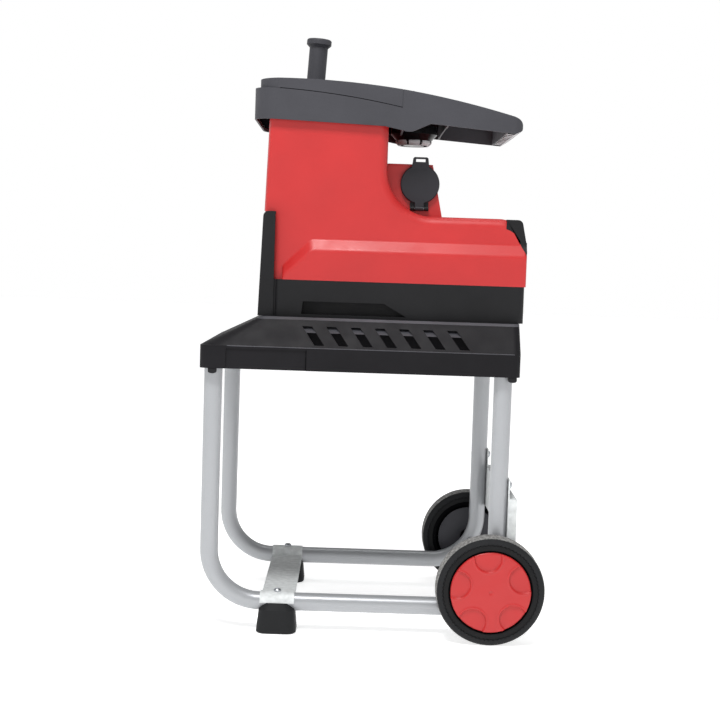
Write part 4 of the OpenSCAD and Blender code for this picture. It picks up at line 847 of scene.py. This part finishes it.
class SHREDDER_OT_body(bpy.types.Operator):
    """Red half shells with their ledge, and the rear vent cap"""

    bl_idname = "shredder.body"
    bl_label = "Red body"

    def execute(self, context):
        for side, hand in HANDS:
            make_piece(hand + "_red_shell", [body_skin(side), ledge_skin(side)], "machine", finish_of("red"),
                       (hand + "_body_shell",), sharp=30.0)
        # A dark sheet that paints the shade behind the vent slots.
        make_piece("vent_shade_sheet", [vent_shade_sheet()], "machine", finish_of("deep"))
        make_piece("vent_tails", [vent_tail(-1), vent_tail(1)], "machine", finish_of("black"),
                   sharp=30.0)
        dress(["rear_vent_cap"], finish_of("black"), 0.8 * MM, flatten=False)
        return {"FINISHED"}


# Switch box and inlet

def box_sill():
    """A strip that closes the switch box's rear wall under its lid.

    A four-sided section along the wall's slope, carried straight across.
    """
    low, high, inner_x, half_w = 723.2, 727.95, 80.8, 77.1
    section = np.array([[84.25, low], [83.28, high], [inner_x, high], [inner_x, low]])
    return drawn_across(section, (-half_w, half_w))


class SHREDDER_OT_switch_box(bpy.types.Operator):
    """Switch box, its lid and plate, and the buttons"""

    bl_idname = "shredder.switch_box"
    bl_label = "Switch box"

    def execute(self, context):
        dress(["switch_box"], finish_of("red"), 1.2 * MM)
        dress(["switch_box_lid"], finish_of("red"), 0.8 * MM)
        make_piece("box_sill", [box_sill()], "machine", finish_of("red"))
        dress(["switch_plate"], finish_of("black"), 0.8 * MM)
        dress(["switch_block"], finish_of("deep"))
        dress(["start_button"], finish_of("green"), 0.5 * MM)
        dress(["stop_button"], finish_of("stop"), 0.5 * MM)
        dress(["reset_button"], finish_of("black"), 0.5 * MM)
        return {"FINISHED"}


class SHREDDER_OT_inlet(bpy.types.Operator):
    """Mains inlet with its spring flap"""

    bl_idname = "shredder.inlet"
    bl_label = "Inlet"

    def execute(self, context):
        dress(["inlet_socket"], finish_of("black"), 0.5 * MM)
        dress(["inlet_flap"], finish_of("flap"), 0.6 * MM)
        dress(["inlet_pins", "flap_hinge_pin"], finish_of("zinc"), 0.3 * MM)
        return {"FINISHED"}


# Hopper, selector and pusher

def pod_ring():
    """A bevelled band carried round the pod's foot: its radius steps in at eight gaps. Its pale grey paints
    the light from below on the pod's foot.
    """
    pod_x, gaps, gap_r, gap_share, gap_soft = 53.861, 8, 26.2, 0.09, 0.012
    section = np.array([[24.0, 765.7], [25.4, 765.75], [29.3, 769.7], [29.5, 770.2],
                        [29.5, 773.4], [29.2, 773.8], [26.0, 773.8], [24.0, 773.8]])
    a = circle(320)[:, None]
    gap = ease((gap_share - zigzag(a, gaps)) / gap_soft)
    r = section[None, :, 0] - gap * np.maximum(section[None, :, 0] - gap_r, 0.0)
    z = section[None, :, 1] + 0 * a
    return ring_skin(np.stack([pod_x + r * np.cos(a), r * np.sin(a), z], axis=-1) * MM)


def hopper_underside_shade():
    """A thin dark sheet under the hopper's floor, from inside its skirt to just within the column's walls:
    painted shade under the hopper.
    """
    low, high = 796.2, 796.7
    outer = flat_loop(-196.4, 30.4, 133.3, [33, 1, 1, 33])
    inner = flat_loop(-173.0, 8.0, 125.5, [12] * 4)
    rings = [raised(outer, high), raised(inner, high), raised(inner, low), raised(outer, low)]
    return ring_skin(np.stack(rings, axis=1) * MM)


def hopper_seam_shade():
    """A thin dark strip in the joint on each side of the hopper: painted shade in the joint.

    Its height falls with the square of the way from the front.
    """
    front, rear, seam_top, seam_fall, lip_x, lip_l = -160.0, 29.4, 838.5, 25, -215.139, 245
    x = np.linspace(front, rear, 40)[:, None]
    seam = seam_top - seam_fall * ((x - lip_x) / lip_l) ** 2
    z = seam + np.array([[-0.25, 0.75, 0.75, -0.25]])
    y = np.array([[-137.12, -137.12, -136.4, -136.4]])
    return both_sides(x, y, z)


def grip_ribs():
    """Pale flat beads on the webs under the handle's end: a painted highlight of the light from below on the
    webs' lower edges.

    Each follows a web's lower edge, which falls gently and then climbs to the arm's tip.
    """
    webs, pitch, half_w, half_h, sunk = 9, 24.0, 3.2, 0.8, 0.4
    front, run = 194.3, 23.2
    arm_x, arm_z, fall = 74.861, 790.5, 0.078
    turn_x, turn_z, climb = 207.8, 780.13, 0.544
    a = circle(24)[None, :]
    t = np.linspace(0, 1, 15)[:, None]
    x = front + run * t
    z = np.where(x < turn_x, arm_z - fall * (x - arm_x), turn_z + climb * (x - turn_x)) + sunk
    swell = np.sqrt(np.clip(1.02 - np.abs(2 * t - 1) ** 6, 0.02, 1))
    up = z + half_h * swell * np.sin(a)
    shells = []
    for y in pitch * (np.arange(webs) - webs // 2):
        across = y + half_w * swell * np.cos(a)
        shells.append(loft(np.stack([np.broadcast_to(x, up.shape), across, up], axis=-1) * MM))
    return shells


def handle_tip():
    """A cover on the end of the arm, over its rounded tip.

    A cubic curve from its top down the tip, carried across and held within its rounded plan.
    """
    start, lean, drop, end = np.array([[201.4, 807.7], [210.4, 805.35], [217.1, 802.1], [219.29, 795.46]])
    corner_x, corner_y, corner_r, skin_x, skin_z = 203.861, 109, 16, 1.0, 1.4
    t = np.linspace(0, 1, 24)[:, None]
    outer = (1 - t) ** 3 * start + 3 * t * (1 - t) ** 2 * lean + 3 * t**2 * (1 - t) * drop + t**3 * end
    section = np.concatenate([outer, outer[::-1] - [skin_x, skin_z]])
    setback = np.repeat([0.0, skin_x], len(t))
    turn = np.radians(np.linspace(-83, 83, 24))
    y = np.sign(turn) * corner_y + corner_r * np.sin(turn)
    plan_x = corner_x + corner_r * np.cos(turn)
    x = np.minimum(section[None, :, 0], plan_x[:, None] - setback[None, :])
    across, z = np.broadcast_arrays(y[:, None], section[None, :, 1])
    return loft(np.stack([x, across, z], axis=-1) * MM)


class SHREDDER_OT_hopper(bpy.types.Operator):
    """Hopper halves, selector and pusher"""

    bl_idname = "shredder.hopper"
    bl_label = "Hopper"

    def execute(self, context):
        dress(["hopper_base", "hopper_funnel"], finish_of("grey"), 0.7 * MM, flatten=False)
        # A dark sheet that paints the shade under the hopper.
        make_piece("hopper_underside_shade", [hopper_underside_shade()], "machine", finish_of("deep"),
                   sharp=30.0)
        # A dark strip that paints the shade in the hopper's joint.
        make_piece("hopper_seam_shade", hopper_seam_shade(), "machine", finish_of("deep"), sharp=30.0)
        # Pale beads that paint the light from below on the grip's webs.
        make_piece("grip_ribs", grip_ribs(), "machine", finish_of("rib"))
        make_piece("handle_tip", [handle_tip()], "machine", finish_of("grey"))
        dress(["selector_pod"], finish_of("gloss"), 0.4 * MM)
        # A pale band that paints the light from below on the pod's foot.
        make_piece("selector_ring", [pod_ring()], "machine", finish_of("pale"))
        dress(["selector_knob"], finish_of("flap"), 0.6 * MM)
        dress(["pusher"], finish_of("grey"), 1.0 * MM)
        return {"FINISHED"}


# Drive inside the housings

class SHREDDER_OT_drive(bpy.types.Operator):
    """Feed chute, cutting works, gears and motor"""

    bl_idname = "shredder.drive"
    bl_label = "Drive"

    def execute(self, context):
        dress(["feed_chute"], finish_of("deep"), 0.4 * MM, flatten=False)
        dress(["motor_fan"], finish_of("deep"), 0.4 * MM)
        dress(["adjusting_knob"], finish_of("black"), 0.8 * MM)
        castings = ["cutting_chamber", "gear_case", "gear_case_cover", "motor_end_shield"]
        dress(castings, finish_of("cast"), 0.6 * MM)
        dress(["counter_plate", "cutting_drum"], finish_of("ground"), 0.3 * MM)
        turned = ["drum_shaft", "drum_bearings", "drum_gear", "adjusting_screw", "first_gear", "second_gear",
                  "motor_rotor", "motor_bearings", "motor_stator"]
        dress(turned, finish_of("ground"))
        dress(["motor_windings"], finish_of("copper"))
        dress(["run_capacitor"], finish_of("can"), 0.8 * MM)
        return {"FINISHED"}


# Studio

def soft_light(name, place, aim, size, power):
    """A square area light at a place, turned to its aim."""
    data = bpy.data.lights.new(name, "AREA")
    data.size, data.energy = size, power
    lamp = bpy.data.objects.new(name, data)
    lamp.location = place
    lamp.rotation_euler = (Vector(aim) - Vector(place)).to_track_quat("-Z", "Y").to_euler()
    bpy.context.scene.collection.objects.link(lamp)


def studio_world():
    """A studio all round, by the direction's height.

    A white backdrop at the horizon, dim walls above it and a pale ceiling.
    """
    world = bpy.data.worlds.new("studio")
    world.use_nodes = True
    nodes, links = world.node_tree.nodes, world.node_tree.links
    height = nodes.new("ShaderNodeSeparateXYZ")
    links.new(nodes.new("ShaderNodeTexCoord").outputs["Generated"], height.inputs["Vector"])
    grey = lambda value: (value, value, value, 1.0)
    tone = ramp(nodes, links, spread(nodes, links, height.outputs["Z"], 0.0, 1.0, 0.0, 1.0),
                [(0.0, grey(1.0)), (0.27, grey(1.0)), (0.38, grey(0.22)), (0.8, grey(0.3)), (1.0, grey(0.7))])
    links.new(tone, nodes["Background"].inputs["Color"])
    nodes["Background"].inputs["Strength"].default_value = 1.0
    return world


class SHREDDER_OT_stage(bpy.types.Operator):
    """Pale floor, soft light and the camera"""

    bl_idname = "shredder.stage"
    bl_label = "Stage"

    def execute(self, context):
        scene = context.scene
        reach = 14.0
        mesh = bpy.data.meshes.new("floor")
        corners = [(-reach, -reach, 0), (reach, -reach, 0), (reach, reach, 0), (-reach, reach, 0)]
        mesh.from_pydata(corners, [], [(0, 1, 2, 3)])
        mesh.materials.append(floor_finish("studio_floor"))
        floor = bpy.data.objects.new("floor", mesh)
        scene.collection.objects.link(floor)
        scene.world = studio_world()
        scene.view_settings.view_transform = "Standard"
        soft_light("key", place=(-0.5, -1.8, 3.4), aim=(0, 0, 0.5), size=0.8, power=98)
        soft_light("top", place=(0.1, 0.3, 2.7), aim=(0, 0, 0.4), size=1.4, power=14)
        view = scene.shredder_view
        flat = math.cos(view.pitch)
        ahead = Vector((math.sin(view.yaw) * flat, math.cos(view.yaw) * flat, -math.sin(view.pitch)))
        level = Vector((math.cos(view.yaw), -math.sin(view.yaw), 0))
        up = level.cross(ahead)
        right = math.cos(view.roll) * level + math.sin(view.roll) * up
        over = math.cos(view.roll) * up - math.sin(view.roll) * level
        data = bpy.data.cameras.new("photo_camera")
        data.sensor_width, data.lens = 36.0, view.lens
        camera = bpy.data.objects.new("photo_camera", data)
        turn = Matrix((right, over, -ahead)).transposed().to_4x4()
        camera.matrix_world = Matrix.Translation(Vector(view.place)) @ turn
        scene.collection.objects.link(camera)
        scene.camera = camera
        return {"FINISHED"}


OPERATORS = (
    SHREDDER_OT_stage, SHREDDER_OT_stand, SHREDDER_OT_wheels, SHREDDER_OT_tray, SHREDDER_OT_base,
    SHREDDER_OT_body, SHREDDER_OT_switch_box, SHREDDER_OT_inlet, SHREDDER_OT_hopper, SHREDDER_OT_drive,
)


class SHREDDER_PT_panel(bpy.types.Panel):
    """Lists the pieces of the shredder"""

    bl_idname = "SHREDDER_PT_panel"
    bl_label = "Garden shredder"
    bl_space_type = "VIEW_3D"
    bl_region_type = "UI"
    bl_category = "Shredder"

    def draw(self, context):
        scene = context.scene
        for group in (scene.shredder_sizes, scene.shredder_paint, scene.shredder_view):
            for key in group.__annotations__:
                self.layout.prop(group, key)
        for operator in OPERATORS:
            self.layout.operator(operator.bl_idname)


GROUPS = (ShredderPaint, ShredderSizes, ShredderView)


def register():
    """Registers the classes and hangs the property groups on the scene."""
    for item in (*GROUPS, *OPERATORS, SHREDDER_PT_panel):
        bpy.utils.register_class(item)
    bpy.types.Scene.shredder_paint = bpy.props.PointerProperty(type=ShredderPaint)
    bpy.types.Scene.shredder_sizes = bpy.props.PointerProperty(type=ShredderSizes)
    bpy.types.Scene.shredder_view = bpy.props.PointerProperty(type=ShredderView)


def unregister():
    """Takes the property groups and the classes away again."""
    for key in ("shredder_paint", "shredder_sizes", "shredder_view"):
        delattr(bpy.types.Scene, key)
    for item in reversed((*GROUPS, *OPERATORS, SHREDDER_PT_panel)):
        bpy.utils.unregister_class(item)


def main():
    register()
    bpy.ops.shredder.stage()
    bpy.ops.shredder.stand()
    bpy.ops.shredder.wheels()
    bpy.ops.shredder.tray()
    bpy.ops.shredder.base()
    bpy.ops.shredder.body()
    bpy.ops.shredder.switch_box()
    bpy.ops.shredder.inlet()
    bpy.ops.shredder.hopper()
    bpy.ops.shredder.drive()
    bpy.context.view_layer.update()


if __name__ == "__main__":
    main()
